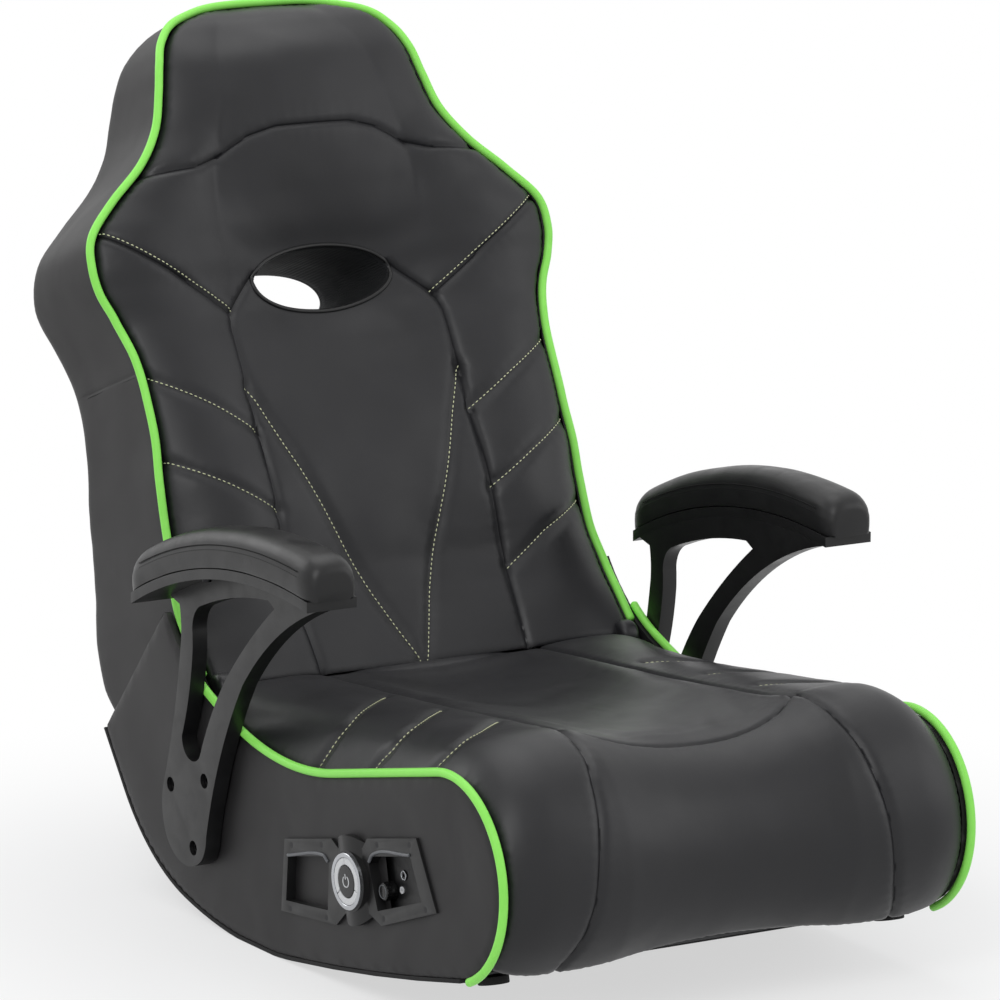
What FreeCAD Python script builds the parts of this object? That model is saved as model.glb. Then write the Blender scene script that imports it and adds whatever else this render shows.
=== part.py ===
import FreeCAD, Part
import math
import os

# A floor rocker chair with a folding back, drawn as it rests, rolled back on its curved sole.
# X runs across the chair with the sitter's left at +X, Y runs rearwards and Z up from the floor.
# Lengths are millimetres and angles are degrees.

# Base, from outside to inside
BASE_WIDTH = 522.0
COVER_THICKNESS = 8.0
BOARD_THICKNESS = 12.0
PANEL_THICKNESS = 9.0
DECK_THICKNESS = 15.0
FRONT_BOARD_THICKNESS = 24.0
STRIP_THICKNESS = 4.0
STRIP_WIDTH = 20.0
PIPING_DIAMETER = 8.5
SEW_GAP = 0.3
PIPING_TURN_IN = 1.2
FIT_GAP = 0.5

# Sole, as slopes of its side view from front to rear
ROCKER_RADIUS = 600.0
ROCKER_CONTACT_Y = 0.0
ROCKER_FLAT_ANGLE = 3.6
ROCKER_FRONT_ANGLE = 7.0
ROCKER_REAR_ANGLE = 14.0
TAIL_RADIUS = 235.0
TAIL_ANGLE = 52.0
SOLE_BOARD_THICKNESS = 6.0
SOLE_COVER_THICKNESS = 1.6

# Seat side view
NOSE_RADIUS = 98.5
NOSE_Y = -371.5
NOSE_Z = 154.0
SEAT_SLOPE = 12.3
SEAT_FLAT_LENGTH = 200.0
SEAT_DIP_RADIUS = 380.0
SEAT_REAR_SLOPE = 20.5
CREASE_RUN = 28.0
HORN_RADIUS = 200.0
HORN_ANGLE = 55.0

# Seat upholstery, as lifts above the side edge
SEAT_SEAM_X = 126.0
SEAT_SEAM_LIFT = 25.0
SEAT_SEAM_SAG = 3.0
SEAT_BOLSTER_LIFT = 30.0
SEAT_CENTRE_LIFT = 1.0
NOSE_CROWN = 12.0
FRONT_BOARD_Y = -420.0
DECK_FRONT_Z = 165.0
DECK_REAR_Z = 124.0
BOARD_TOP_DEPTH = 48.0

# Hinge and back axes
HINGE_Y = 110.0
HINGE_DEPTH = 8.5
BACK_TILT = 20.0
HINGE_PIN_RADIUS = 5.0
HINGE_RUNNING_CLEARANCE = 0.05
HINGE_EYE_RADIUS = 12.0
HINGE_PLATE_THICKNESS = 4.0
HINGE_SIDE_GAP = 0.6
HINGE_HEAD_RADIUS = 8.0
NOTCH_CLEARANCE = 2.5
CREASE_GAP = 1.0
CREASE_ROUND = 52.0
CREASE_RISE = 5.0
CREASE_DROP = 3.0
CREASE_CROWN = 0.05
PARTING_GAP = 4.0

# Back, as stations along its own height.
# Columns: height, half width, front edge, rear edge, seam half width, lifts of seam, bolster and centre.
BACK_STATIONS = (
    (0, 249.5, 1, 222, 122, 0, 1, -2),
    (40, 249.5, 20, 243, 122, 9, 12, 4),
    (80, 249, 38, 244, 122, 15, 20, 10),
    (128, 244, 47, 240, 122, 20, 27, 14),
    (172, 242.5, 47, 233, 122, 22, 28, 16),
    (215, 241.5, 45, 226, 123, 15, 24, 10),
    (258, 238, 45, 219, 124, 6, 16, 2),
    (303, 237.5, 49, 215, 122, 3, 13, -3),
    (345, 240, 55, 218, 116, 0, 12, -12),
    (386, 251, 62, 223, 110, -4, 12, -22),
    (412, 262, 62, 223, 110, -5, 12, -26),
    (440, 267, 60, 217, 112, -2, 14, -22),
    (470, 262, 60, 204, 116, 4, 16, -6),
    (505, 231, 63, 197, 116, 8, 16, 10),
    (540, 192, 63, 201, 110, 12, 14, 22),
    (575, 167, 66, 203, 100, 16, 12, 30),
    (615, 154, 68, 199, 90, 18, 12, 30),
    (645, 146, 71, 189, 85, 16, 11, 27),
    (670, 134, 80, 174, 75, 12, 9, 20),
    (690, 112, 90, 148, 60, 8, 6, 13),
    (704, 75, 105, 128, 40, 3, 2.5, 5),
)
REAR_CROWN = 8.0
REAR_CORNER = 8.0
FOAM_DEPTH = 112.0
SHELL_THICKNESS = 4.0
HEAD_SPLIT_HEIGHT = 545.0
BACK_SEAM_X = 118.0

# Neck opening
HOLE_HEIGHT = 411.5
HOLE_HALF_WIDTH = 79.0
HOLE_HALF_HEIGHT = 32.5
COLLAR_WALL = 3.0

# Back frame
FRAME_TUBE_RADIUS = 11.0
FRAME_SIDE_GAP = 2.4
FRAME_FOOT_HEIGHT = 26.0
FRAME_BEND_HEIGHT = 400.0
FRAME_NECK_RISE = 80.0
FRAME_NECK_HALF_WIDTH = 112.0
FRAME_TOP_HEIGHT = 640.0
FRAME_BEND_RADIUS = 40.0
TUBE_WALL = 1.5
SEAT_FRAME_HALF_WIDTH = 180.0
SEAT_FRAME_REAR_Y = 60.0
SEAT_FRAME_FRONT_Y = -380.0
CROSSBAR_RADIUS = 8.0
CROSSBAR_HEIGHTS = (70.0, 345.0)
LUMBAR_BOARD_HALF_WIDTH = 190.0
LUMBAR_BOARD_BOTTOM = 30.0
LUMBAR_BOARD_TOP = 362.0
LUMBAR_BOARD_THICKNESS = 8.0
HINGE_ARM_HEIGHT = 118.0

# Sound parts
SPEAKER_RADIUS = 30.0
SPEAKER_LENGTH = 34.0
SPEAKER_MAGNET_RADIUS = 18.0
SPEAKER_DEPTH = 152.0
BASS_BOX_WIDTH = 250.0
BASS_BOX_LENGTH = 190.0
BASS_BOX_DEPTH = 60.0
BASS_BOX_Y = -265.0
BASS_BOX_WALL = 8.0
BASS_DRIVER_RADIUS = 62.0
BASS_DRIVER_DEPTH = 40.0
BASS_DRIVER_FLANGE = 4.0

# Armrest, in side view
ARM_STANDOFF = 3.5
ARM_THICKNESS = 16.5
PAD_WIDTH = 54.0
PAD_ARC_RADIUS = 600.0
PAD_APEX_Y = -122.0
PAD_APEX_Z = 397.0
PAD_FRONT_Y = -216.0
PAD_REAR_Y = 150.0
PAD_SIDE_HEIGHT = 22.0
PAD_CROWN = 18.0
PAD_END_DROP = 7.0
TRAY_THICKNESS = 10.0
TRAY_END_INSET = 6.0
PAD_GAP = 0.4
ARM_TOP_FRONT_Y = -205.0
ARM_TOP_REAR_Y = 131.0
# Leg outline from the tray's front end to its rear end, then the loop, each as end and middle of an arc
ARM_LEG_POINTS = (
    ((-15.0, 268.0), (-92.0, 334.0)),
    ((62.0, 99.0), (31.0, 188.0)),
    ((72.0, 74.0), (65.0, 85.0)),
    ((142.0, 80.0), (105.0, 62.0)),
    ((150.0, 135.0), (152.5, 106.0)),
    ((110.0, 289.0), (123.0, 222.0)),
    ((112.0, 325.0), (109.5, 307.0)),
)
ARM_LOOP_START = (86.0, 285.0)
ARM_LOOP_POINTS = (
    ((110.0, 193.0), (93.0, 244.0)),
    ((74.0, 178.0), (96.0, 172.0)),
    ((20.0, 266.0), (50.0, 224.0)),
    ((-80.0, 356.0), (-27.0, 313.0)),
    ((-68.0, 362.0), None),
    ((66.0, 332.0), (0.0, 352.0)),
    ((86.0, 300.0), (82.0, 320.0)),
)
ARM_BOLT_POINTS = ((135.0, 138.0), (65.0, 156.0), (89.0, 83.0))
ARM_BOLT_RADIUS = 4.0
ARM_BOLT_HEAD_RADIUS = 6.5
ARM_BOLT_HEAD_HEIGHT = 5.0
ARM_BOLT_RECESS_RADIUS = 7.5
ARM_BOLT_RECESS_DEPTH = 9.0
BOLT_CLEARANCE = 0.25
BOSS_RADIUS = 13.0
TEE_NUT_RADIUS = 6.0
TEE_NUT_DEPTH = 8.0
TEE_FLANGE_RADIUS = 10.0
TEE_FLANGE_THICKNESS = 1.5
PAD_SCREW_YS = (-120.0, 20.0)
PAD_SCREW_RADIUS = 2.5
PAD_SCREW_HEAD_RADIUS = 4.5
PAD_SCREW_HEAD_HEIGHT = 3.0
PAD_SCREW_BITE = 12.0

# Control panel on the sitter's right, along the tilted base
PANEL_TILT = 12.5
PANEL_Y = -203.0
PANEL_Z = 112.0
PANEL_FLANGE = 4.0
RECESS_FLOOR_DEPTH = 12.0
RECESS_WALL = 2.0
TOWER_HALF_WIDTH = 28.0
TOWER_TOP = 46.0
TOWER_BOTTOM = -41.0
TOWER_RISE = 6.0
RING_AT = (0.0, 2.0)
BEZEL_RADIUS = 27.5
BEZEL_BORE = 23.0
BEZEL_RISE = 9.0
BUTTON_SLIDING_GAP = 0.3
RING_WIDTH = 6.5
RING_PARTS = 3
RING_SLOT = 1.0
RING_FIRST_ANGLE = 150.0
BUTTON_DEPTH = 6.0
BUTTON_PROUD = 0.5
BUTTON_TRAVEL = 1.2
KNOB_RADIUS = 9.0
KNOB_LENGTH = 12.0
KNOB_AT = (48.0, -9.0)
KNOB_STEM_RADIUS = 3.0
KNOB_MARK_WIDTH = 1.6
SCREW_RADIUS = 1.6
SCREW_HEAD_RADIUS = 3.0
SCREW_HEAD_HEIGHT = 1.6
SCREW_LENGTH = 12.0
CONTROL_BOX_DEPTH = 44.0
CONTROL_BOX_WALL = 2.0
CIRCUIT_BOARD_THICKNESS = 1.6
CIRCUIT_BOARD_CORNERS = ((-110.0, 22.0), (100.0, 22.0), (100.0, -16.0), (-110.0, -16.0))
HEAT_SINK_CORNERS = ((-40.0, 12.0), (0.0, 12.0), (0.0, -8.0), (-40.0, -8.0))
HEAT_SINK_HEIGHT = 14.0
# Panel outlines and places, forward and up from the panel's centre
PLATE_WINGS = (
    ((-129, 42), (-35, 42), (-24, 33), (-24, -30), (-44, -41), (-152, -28)),
    ((129, 42), (35, 42), (24, 33), (24, -30), (44, -41), (152, -28)),
)
PLATE_NECK = ((-30, 33), (30, 33), (30, -30), (-30, -30))
RECESSES = (
    ((-126, 25), (-54, 25), (-45, 18), (-58, -27), (-140, -18)),
    ((114, 25), (42, 25), (33, 18), (40, -27), (126, -18)),
)
PANEL_OPENING = ((-132, 29), (120, 29), (132, -22), (50, -32), (-50, -32), (-146, -22))
PANEL_SCREWS = (
    (-116, 36), (-56, 36), (-133, -26), (-62, -34),
    (53, 36), (115, 36), (50, -34), (132, -25),
)
# Sockets: forward, up and radius
HEADPHONE_JACK = (-127.0, 3.0, 4.0)
LINK_JACK = (-112.0, 6.0, 4.0)
DATA_PORT = (-110.0, -12.0, 3.5)
AUDIO_JACK = (71.0, 5.0, 4.0)
LIGHT_RING = (64.0, -9.0, 3.5)
PORT_BORES = (HEADPHONE_JACK, LINK_JACK, DATA_PORT, AUDIO_JACK, LIGHT_RING)
JACK_BORE = 1.75
JACK_BODY = 12.0
JACK_PROUD = 1.0
JACK_END_WALL = 2.0
# Tray behind the panel
BOX_CORNERS = ((-134, 30), (122, 30), (134, -24), (-148, -24))
FOOT_RADIUS = 15.0
FOOT_DEPTH = 8.0
FOOT_X = 222.0
FOOT_Y = -388.0
STOP_LENGTH = 60.0
STOP_WIDTH = 12.0

# Worked-out planes
BASE_HALF = BASE_WIDTH / 2
PIPING_RADIUS = PIPING_DIAMETER / 2
COVER_INSET = PIPING_RADIUS + SEW_GAP
COVER_INNER = BASE_HALF - COVER_THICKNESS
BOARD_INNER = COVER_INNER - BOARD_THICKNESS
ARM_INNER = BASE_HALF + ARM_STANDOFF
ARM_OUTER = ARM_INNER + ARM_THICKNESS
PAD_OUTER = ARM_INNER + PAD_WIDTH
PAD_CENTRE_X = ARM_INNER + PAD_WIDTH / 2
PAD_ARC_Z = PAD_APEX_Z - PAD_ARC_RADIUS
PIPING_X = BASE_HALF - 1.0
PIPING_CHAMFER = COVER_INSET * math.sqrt(2)
BRACKET_OUTER = BOARD_INNER
BRACKET_INNER = BRACKET_OUTER - HINGE_PLATE_THICKNESS
ARM_PLATE_OUTER = BRACKET_INNER - HINGE_SIDE_GAP
ARM_PLATE_INNER = ARM_PLATE_OUTER - HINGE_PLATE_THICKNESS
FRAME_HALF_WIDTH = ARM_PLATE_INNER - FRAME_TUBE_RADIUS - FRAME_SIDE_GAP
FRAME_NECK_HEIGHT = FRAME_TOP_HEIGHT - FRAME_NECK_RISE
TUBE_DEPTH = FOAM_DEPTH + LUMBAR_BOARD_THICKNESS + FRAME_TUBE_RADIUS


def vec(x, y, z):
    return FreeCAD.Vector(x, y, z)


def sine(angle):
    return math.sin(math.radians(angle))


def cosine(angle):
    return math.cos(math.radians(angle))


def normal_at(slope):
    """Unit normal, pointing up, of a side-view line with this slope."""
    return (-sine(slope), cosine(slope))


def on_arc(centre, radius, slope):
    """Lowest-side point of a circle where its tangent has this slope."""
    n = normal_at(slope)
    return (centre[0] - radius * n[0], centre[1] - radius * n[1])


def moved(point, direction, distance):
    return (point[0] + direction[0] * distance, point[1] + direction[1] * distance)


# Side-view curves of the base

ROCKER_CENTRE = (ROCKER_CONTACT_Y, ROCKER_RADIUS * cosine(ROCKER_FLAT_ANGLE))
NOSE_CENTRE = (NOSE_Y, NOSE_Z)


def front_sole_arc():
    """Circle that leaves the rocker arc at its front end and runs tangent into the nose."""
    start = on_arc(ROCKER_CENTRE, ROCKER_RADIUS, -ROCKER_FRONT_ANGLE)
    n = normal_at(-ROCKER_FRONT_ANGLE)
    d = (start[0] - NOSE_CENTRE[0], start[1] - NOSE_CENTRE[1])
    along = d[0] * n[0] + d[1] * n[1]
    radius = (NOSE_RADIUS ** 2 - d[0] ** 2 - d[1] ** 2) / (2 * (along + NOSE_RADIUS))
    centre = moved(start, n, radius)
    slope = -math.degrees(math.atan2(centre[0] - NOSE_CENTRE[0], centre[1] - NOSE_CENTRE[1]))
    return centre, radius, slope


FRONT_SOLE_CENTRE, FRONT_SOLE_RADIUS, FRONT_SOLE_SLOPE = front_sole_arc()


def tail_centre():
    start = on_arc(ROCKER_CENTRE, ROCKER_RADIUS, ROCKER_REAR_ANGLE)
    return moved(start, normal_at(ROCKER_REAR_ANGLE), TAIL_RADIUS)


TAIL_CENTRE = tail_centre()


def seat_points():
    """Side edge of the seat from the nose to the horn tip: ends of its lines and arcs."""
    up = normal_at(-SEAT_SLOPE)
    nose_top = moved(NOSE_CENTRE, up, NOSE_RADIUS)
    flat_end = moved(nose_top, (cosine(SEAT_SLOPE), -sine(SEAT_SLOPE)), SEAT_FLAT_LENGTH)
    dip_centre = moved(flat_end, up, SEAT_DIP_RADIUS)
    dip_end = on_arc(dip_centre, SEAT_DIP_RADIUS, SEAT_REAR_SLOPE)
    crease_start = moved(dip_end, (cosine(SEAT_REAR_SLOPE), sine(SEAT_REAR_SLOPE)), CREASE_RUN)
    horn_centre = moved(crease_start, normal_at(SEAT_REAR_SLOPE), HORN_RADIUS)
    horn_tip = on_arc(horn_centre, HORN_RADIUS, HORN_ANGLE)
    return nose_top, flat_end, dip_centre, dip_end, crease_start, horn_centre, horn_tip


NOSE_TOP, FLAT_END, DIP_CENTRE, DIP_END, CREASE_START, HORN_CENTRE, HORN_TIP = seat_points()

HINGE_Z = HORN_CENTRE[1] - math.sqrt(HORN_RADIUS ** 2 - (HINGE_Y - HORN_CENTRE[0]) ** 2) - HINGE_DEPTH
BACK_UP = (sine(BACK_TILT), cosine(BACK_TILT))
BACK_REARWARD = (cosine(BACK_TILT), -sine(BACK_TILT))


def back_yz(height, depth):
    """Side-view place of a point given along the back's own height and depth axes."""
    foot = moved((HINGE_Y, HINGE_Z), BACK_UP, height)
    return moved(foot, BACK_REARWARD, depth)


def back_point(x, height, depth):
    y, z = back_yz(height, depth)
    return vec(x, y, z)


def tail_corner(inset):
    """End of the sole's straight tail, where it meets the plane under the back."""
    start = on_arc(TAIL_CENTRE, TAIL_RADIUS - inset, TAIL_ANGLE)
    run = (cosine(TAIL_ANGLE), sine(TAIL_ANGLE))
    rise = run[0] * BACK_UP[0] + run[1] * BACK_UP[1]
    height = (start[0] - HINGE_Y) * BACK_UP[0] + (start[1] - HINGE_Z) * BACK_UP[1]
    return moved(start, run, (-PARTING_GAP - height) / rise)


def plan_centre():
    """Middle of the chair's footprint box, front to rear."""
    front = NOSE_Y - NOSE_RADIUS - NOSE_CROWN
    rear = max(back_yz(row[0], row[3] + REAR_CROWN)[0] for row in BACK_STATIONS)
    return (front + rear) / 2


PLAN_CENTRE = plan_centre()


# Shape helpers

def edge(points):
    """Line through two points or arc through three."""
    if len(points) == 2:
        return Part.LineSegment(points[0], points[1]).toShape()
    return Part.Arc(points[0], points[1], points[2]).toShape()


def closed_wire(start, steps, place):
    """Wire from start through (end, via) steps back to start; place maps plane points to space."""
    edges = []
    here = start
    for end, via in steps + [(start, None)]:
        if math.dist(here, end) > 1e-6:
            points = [place(*here), place(*end)]
            if via is not None:
                points.insert(1, place(*via))
            edges.append(edge(points))
        here = end
    return Part.Wire(edges)


def side_place(x):
    return lambda y, z: vec(x, y, z)


def side_prism(start, steps, x0, x1):
    """Solid between two planes across X with this side view."""
    face = Part.Face(closed_wire(start, steps, side_place(x0)))
    return face.extrude(vec(x1 - x0, 0, 0))


def side_polygon(points, x0, x1):
    return side_prism(points[0], [(p, None) for p in points[1:]], x0, x1)


def loft(wires):
    return Part.makeLoft(wires, True, True)


def cylinder_x(y, z, radius, x0, x1):
    return Part.makeCylinder(radius, abs(x1 - x0), vec(min(x0, x1), y, z), vec(1, 0, 0))


def ring_x(y, z, outer, inner, x0, x1):
    return cylinder_x(y, z, outer, x0, x1).cut(cylinder_x(y, z, inner, x0, x1))


def mirrored(shape):
    return shape.mirror(vec(0, 0, 0), vec(1, 0, 0))


def back_box(x0, x1, height0, height1, depth0, depth1):
    """Box with its sides along the back's own axes."""
    points = [(height0, depth0), (height1, depth0), (height1, depth1), (height0, depth1)]
    return side_polygon([back_yz(*p) for p in points], x0, x1)


def ruled_tube(points, radius):
    """Round tube through points, as ruled bands between circles set square to the path."""
    wires = []
    last = len(points) - 1
    for i, point in enumerate(points):
        along = points[min(i + 1, last)] - points[max(i - 1, 0)]
        wires.append(Part.Wire(Part.makeCircle(radius, point, along)))
    return loft(wires)


# Base: outlines

def sole_steps(inset):
    """Sole curve from the nose to the tail corner, with the short flat that it rests on."""
    front_radius = FRONT_SOLE_RADIUS - inset
    start = on_arc(FRONT_SOLE_CENTRE, front_radius, FRONT_SOLE_SLOPE)
    spans = (
        (FRONT_SOLE_CENTRE, front_radius, FRONT_SOLE_SLOPE, -ROCKER_FRONT_ANGLE),
        (ROCKER_CENTRE, ROCKER_RADIUS - inset, -ROCKER_FRONT_ANGLE, -ROCKER_FLAT_ANGLE),
        (ROCKER_CENTRE, ROCKER_RADIUS - inset, ROCKER_FLAT_ANGLE, ROCKER_REAR_ANGLE),
        (TAIL_CENTRE, TAIL_RADIUS - inset, ROCKER_REAR_ANGLE, TAIL_ANGLE),
    )
    steps = []
    for centre, radius, first, last in spans:
        if first == ROCKER_FLAT_ANGLE:
            steps.append((on_arc(centre, radius, first), None))
        via = on_arc(centre, radius, (first + last) / 2)
        steps.append((on_arc(centre, radius, last), via))
    steps.append((tail_corner(inset), None))
    return start, steps


def seat_edge_steps(inset):
    """From the horn tip down to the crease and forward over the seat to the nose."""
    horn_radius = HORN_RADIUS + inset
    dip_radius = SEAT_DIP_RADIUS + inset
    up = normal_at(-SEAT_SLOPE)
    nose_radius = NOSE_RADIUS - inset
    horn_low = on_arc(HORN_CENTRE, horn_radius, SEAT_REAR_SLOPE)
    horn_via = on_arc(HORN_CENTRE, horn_radius, (SEAT_REAR_SLOPE + HORN_ANGLE) / 2)
    dip_via = on_arc(DIP_CENTRE, dip_radius, (SEAT_REAR_SLOPE - SEAT_SLOPE) / 2)
    nose_start = moved(NOSE_CENTRE, up, nose_radius)
    nose_front = (NOSE_Y - nose_radius, NOSE_Z)
    nose_end = on_arc(NOSE_CENTRE, nose_radius, FRONT_SOLE_SLOPE)
    return [
        (on_arc(HORN_CENTRE, horn_radius, HORN_ANGLE), None),
        (horn_low, horn_via),
        (on_arc(DIP_CENTRE, dip_radius, SEAT_REAR_SLOPE), None),
        (on_arc(DIP_CENTRE, dip_radius, -SEAT_SLOPE), dip_via),
        (nose_start, None),
        (nose_end, nose_front),
    ]


def base_outline(inset_sole, inset_top):
    start, steps = sole_steps(inset_sole)
    return start, steps + seat_edge_steps(inset_top)


def deck_z(y):
    """Top of the seat deck, a straight fall from the front board to the hinge."""
    share = (y - FRONT_BOARD_Y) / (HINGE_Y - FRONT_BOARD_Y)
    return DECK_FRONT_Z + (DECK_REAR_Z - DECK_FRONT_Z) * share


def board_region():
    """Side view of where a side board may lie: under the foam and below the back."""
    front_top = (FRONT_BOARD_Y, deck_z(FRONT_BOARD_Y))
    shoulder = (NOSE_TOP[0], NOSE_TOP[1] - BOARD_TOP_DEPTH)
    dip = (DIP_CENTRE[0], DIP_CENTRE[1] - SEAT_DIP_RADIUS - BOARD_TOP_DEPTH)
    rear = (CREASE_START[0], CREASE_START[1] - BOARD_TOP_DEPTH)
    hinge_side = (HINGE_Y, rear[1])
    under_back = back_yz(-2 * PARTING_GAP, HINGE_EYE_RADIUS)
    far = back_yz(-2 * PARTING_GAP, TAIL_RADIUS)
    return [(FRONT_BOARD_Y, 0), front_top, shoulder, dip, rear, hinge_side, under_back, far, (far[0], 0)]


# Base: pieces

def arm_bolt_holes(radius, x0, x1):
    return Part.makeCompound([cylinder_x(y, z, radius, x0, x1) for y, z in ARM_BOLT_POINTS])


def side_board():
    start, steps = base_outline(STRIP_THICKNESS, STRIP_THICKNESS)
    body = side_prism(start, steps, BOARD_INNER, COVER_INNER)
    region = side_polygon(board_region(), BOARD_INNER, COVER_INNER)
    board = body.common(region)
    return board.cut(arm_bolt_holes(TEE_NUT_RADIUS, BOARD_INNER, COVER_INNER))


def side_cover():
    start, steps = base_outline(COVER_INSET, COVER_INSET)
    cover = side_prism(start, steps, COVER_INNER, BASE_HALF)
    return cover.cut(arm_bolt_holes(ARM_BOLT_RADIUS + BOLT_CLEARANCE, COVER_INNER, BASE_HALF))


def sole_band(outer, inner, x0, x1):
    """Solid that follows the sole between two insets."""
    start, steps = sole_steps(outer)
    back_start, back_steps = sole_steps(inner)
    ends = [back_start] + [end for end, _ in back_steps]
    vias = [via for _, via in back_steps]
    reverse = [(ends[-1], None)]
    for i in range(len(back_steps) - 1, -1, -1):
        reverse.append((ends[i], vias[i]))
    return side_prism(start, steps + reverse, x0, x1)


def rocker_strip():
    half = STRIP_WIDTH / 2
    middle = BASE_HALF - SEW_GAP - half
    return sole_band(0, STRIP_THICKNESS, middle - half, middle + half)


def strip_inner_x():
    return BASE_HALF - SEW_GAP - STRIP_WIDTH


def sole_board():
    x = BOARD_INNER - FIT_GAP
    inner = STRIP_THICKNESS + SOLE_BOARD_THICKNESS
    return sole_band(STRIP_THICKNESS, inner, -x, x)


def sole_cover():
    x = strip_inner_x() - FIT_GAP
    return sole_band(STRIP_THICKNESS - SOLE_COVER_THICKNESS, STRIP_THICKNESS, -x, x)


def above_sole(x):
    """Space inside the sole board, for trimming what stands on it."""
    start, steps = base_outline(STRIP_THICKNESS + SOLE_BOARD_THICKNESS, COVER_INSET)
    return side_prism(start, steps, -x, x)


def front_board():
    x = BOARD_INNER - FIT_GAP
    rear = FRONT_BOARD_Y + FRONT_BOARD_THICKNESS
    top = deck_z(FRONT_BOARD_Y) - DECK_THICKNESS
    low = [(FRONT_BOARD_Y, 0), (rear, 0), (rear, deck_z(rear) - DECK_THICKNESS), (FRONT_BOARD_Y, top)]
    return side_polygon(low, -x, x).common(above_sole(x))


def seat_deck():
    x = BOARD_INNER - FIT_GAP
    rear = HINGE_Y - CREASE_GAP
    top = [(FRONT_BOARD_Y, deck_z(FRONT_BOARD_Y)), (rear, deck_z(rear))]
    low = [(rear, deck_z(rear) - DECK_THICKNESS), (FRONT_BOARD_Y, deck_z(FRONT_BOARD_Y) - DECK_THICKNESS)]
    return side_polygon(top + low, -x, x)


def rear_deck():
    """Board under the back, from behind the hinge to the tail."""
    x = BRACKET_INNER - FIT_GAP
    height = -PARTING_GAP - PANEL_THICKNESS
    deck = back_box(-x, x, height, -PARTING_GAP, HINGE_EYE_RADIUS + PARTING_GAP, TAIL_RADIUS)
    return deck.common(above_sole(x))


def rest_stops():
    """Rubber pads that the back's underside lands on when the back is open."""
    depth = TAIL_RADIUS - STOP_LENGTH
    pad = back_box(FOOT_X - STOP_LENGTH, FOOT_X - STOP_LENGTH + STOP_WIDTH, -PARTING_GAP, 0,
                   depth - STOP_LENGTH, depth)
    return Part.makeCompound([pad, mirrored(pad)])


def front_feet():
    """Two rubber feet under the front corners, square to the sole."""
    radius = FRONT_SOLE_RADIUS
    sink = (FOOT_Y - FRONT_SOLE_CENTRE[0]) / radius
    slope = math.degrees(math.asin(sink))
    y, z = on_arc(FRONT_SOLE_CENTRE, radius - STRIP_THICKNESS + SOLE_COVER_THICKNESS, slope)
    up = normal_at(slope)
    down = vec(0, -up[0], -up[1])
    foot = Part.makeCylinder(FOOT_RADIUS, FOOT_DEPTH, vec(FOOT_X, y, z), down)
    return Part.makeCompound([foot, mirrored(foot)])


# Base: seat upholstery

def around_nose(radius, angle):
    return (NOSE_Y + radius * cosine(angle), NOSE_Z + radius * sine(angle))


def edge_height(y):
    """Height of the seat's side edge between the nose and the end of its dip."""
    if y < FLAT_END[0]:
        return NOSE_TOP[1] - (y - NOSE_TOP[0]) * math.tan(math.radians(SEAT_SLOPE))
    return DIP_CENTRE[1] - math.sqrt(SEAT_DIP_RADIUS ** 2 - (y - DIP_CENTRE[0]) ** 2)


def seam_height(y):
    """Height of the seam beside the sitter, a nearly straight fall from the nose to the crease."""
    front = NOSE_TOP[1] + SEAT_SEAM_LIFT
    rear = HINGE_Z + CREASE_RISE
    share = (y - NOSE_TOP[0]) / (HINGE_Y - CREASE_ROUND - NOSE_TOP[0])
    return front + (rear - front) * share - SEAT_SEAM_SAG * 4 * share * (1 - share)


def seat_section(x, lift, fill):
    """Side view of the seat foam at one place across the seat.

    The top lies lift above the side edge; fill shares out how far it bridges the edge's dip.
    """
    up = normal_at(-SEAT_SLOPE)
    crown = max(lift, 0) * NOSE_CROWN / SEAT_BOLSTER_LIFT + min(lift, 0)
    top_radius = NOSE_RADIUS + lift
    front_radius = NOSE_RADIUS + crown
    nose_top = moved(NOSE_CENTRE, up, top_radius)
    board_reach = NOSE_CENTRE[0] - FRONT_BOARD_Y
    nose_low = (FRONT_BOARD_Y, NOSE_Z - math.sqrt(front_radius ** 2 - board_reach ** 2))
    nose_front = (NOSE_Y - front_radius, NOSE_Z)
    low_angle = math.degrees(math.atan2(nose_low[1] - NOSE_Z, nose_low[0] - NOSE_Y))
    front_angle = math.degrees(math.pi)
    top_angle = front_angle / 2 - SEAT_SLOPE
    low_via = around_nose(front_radius, (low_angle - front_angle) / 2)
    top_via = around_nose((front_radius + top_radius) / 2, (front_angle + top_angle) / 2)

    def top(y):
        edge_z = edge_height(y)
        return (y, edge_z + lift + fill * (seam_height(y) - SEAT_SEAM_LIFT - edge_z))

    rear = HINGE_Y - CREASE_GAP
    round_start = top(rear - CREASE_ROUND)
    lip = (rear, HINGE_Z - CREASE_DROP)
    round_middle = ((round_start[0] + rear) / 2, (round_start[1] + lip[1]) / 2 + lift * CREASE_CROWN)
    steps = [
        (nose_front, low_via),
        (nose_top, top_via),
        (top(FLAT_END[0]), None),
        (round_start, top((FLAT_END[0] + round_start[0]) / 2)),
        (round_middle, None),
        (lip, None),
        ((rear, deck_z(rear)), None),
        ((FRONT_BOARD_Y, deck_z(FRONT_BOARD_Y)), None),
    ]
    return closed_wire(nose_low, steps, side_place(x))


def hinge_notch(x0, x1):
    return cylinder_x(HINGE_Y, HINGE_Z, HINGE_EYE_RADIUS + NOTCH_CLEARANCE, x0, x1)


def seat_centre():
    quarter_lift = SEAT_CENTRE_LIFT + (SEAT_SEAM_LIFT - SEAT_CENTRE_LIFT) / 4
    shape = ((-1, SEAT_SEAM_LIFT), (-0.5, quarter_lift), (0, SEAT_CENTRE_LIFT), (0.5, quarter_lift),
             (1, SEAT_SEAM_LIFT))
    return loft([seat_section(SEAT_SEAM_X * share, lift, 1) for share, lift in shape])


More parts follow.
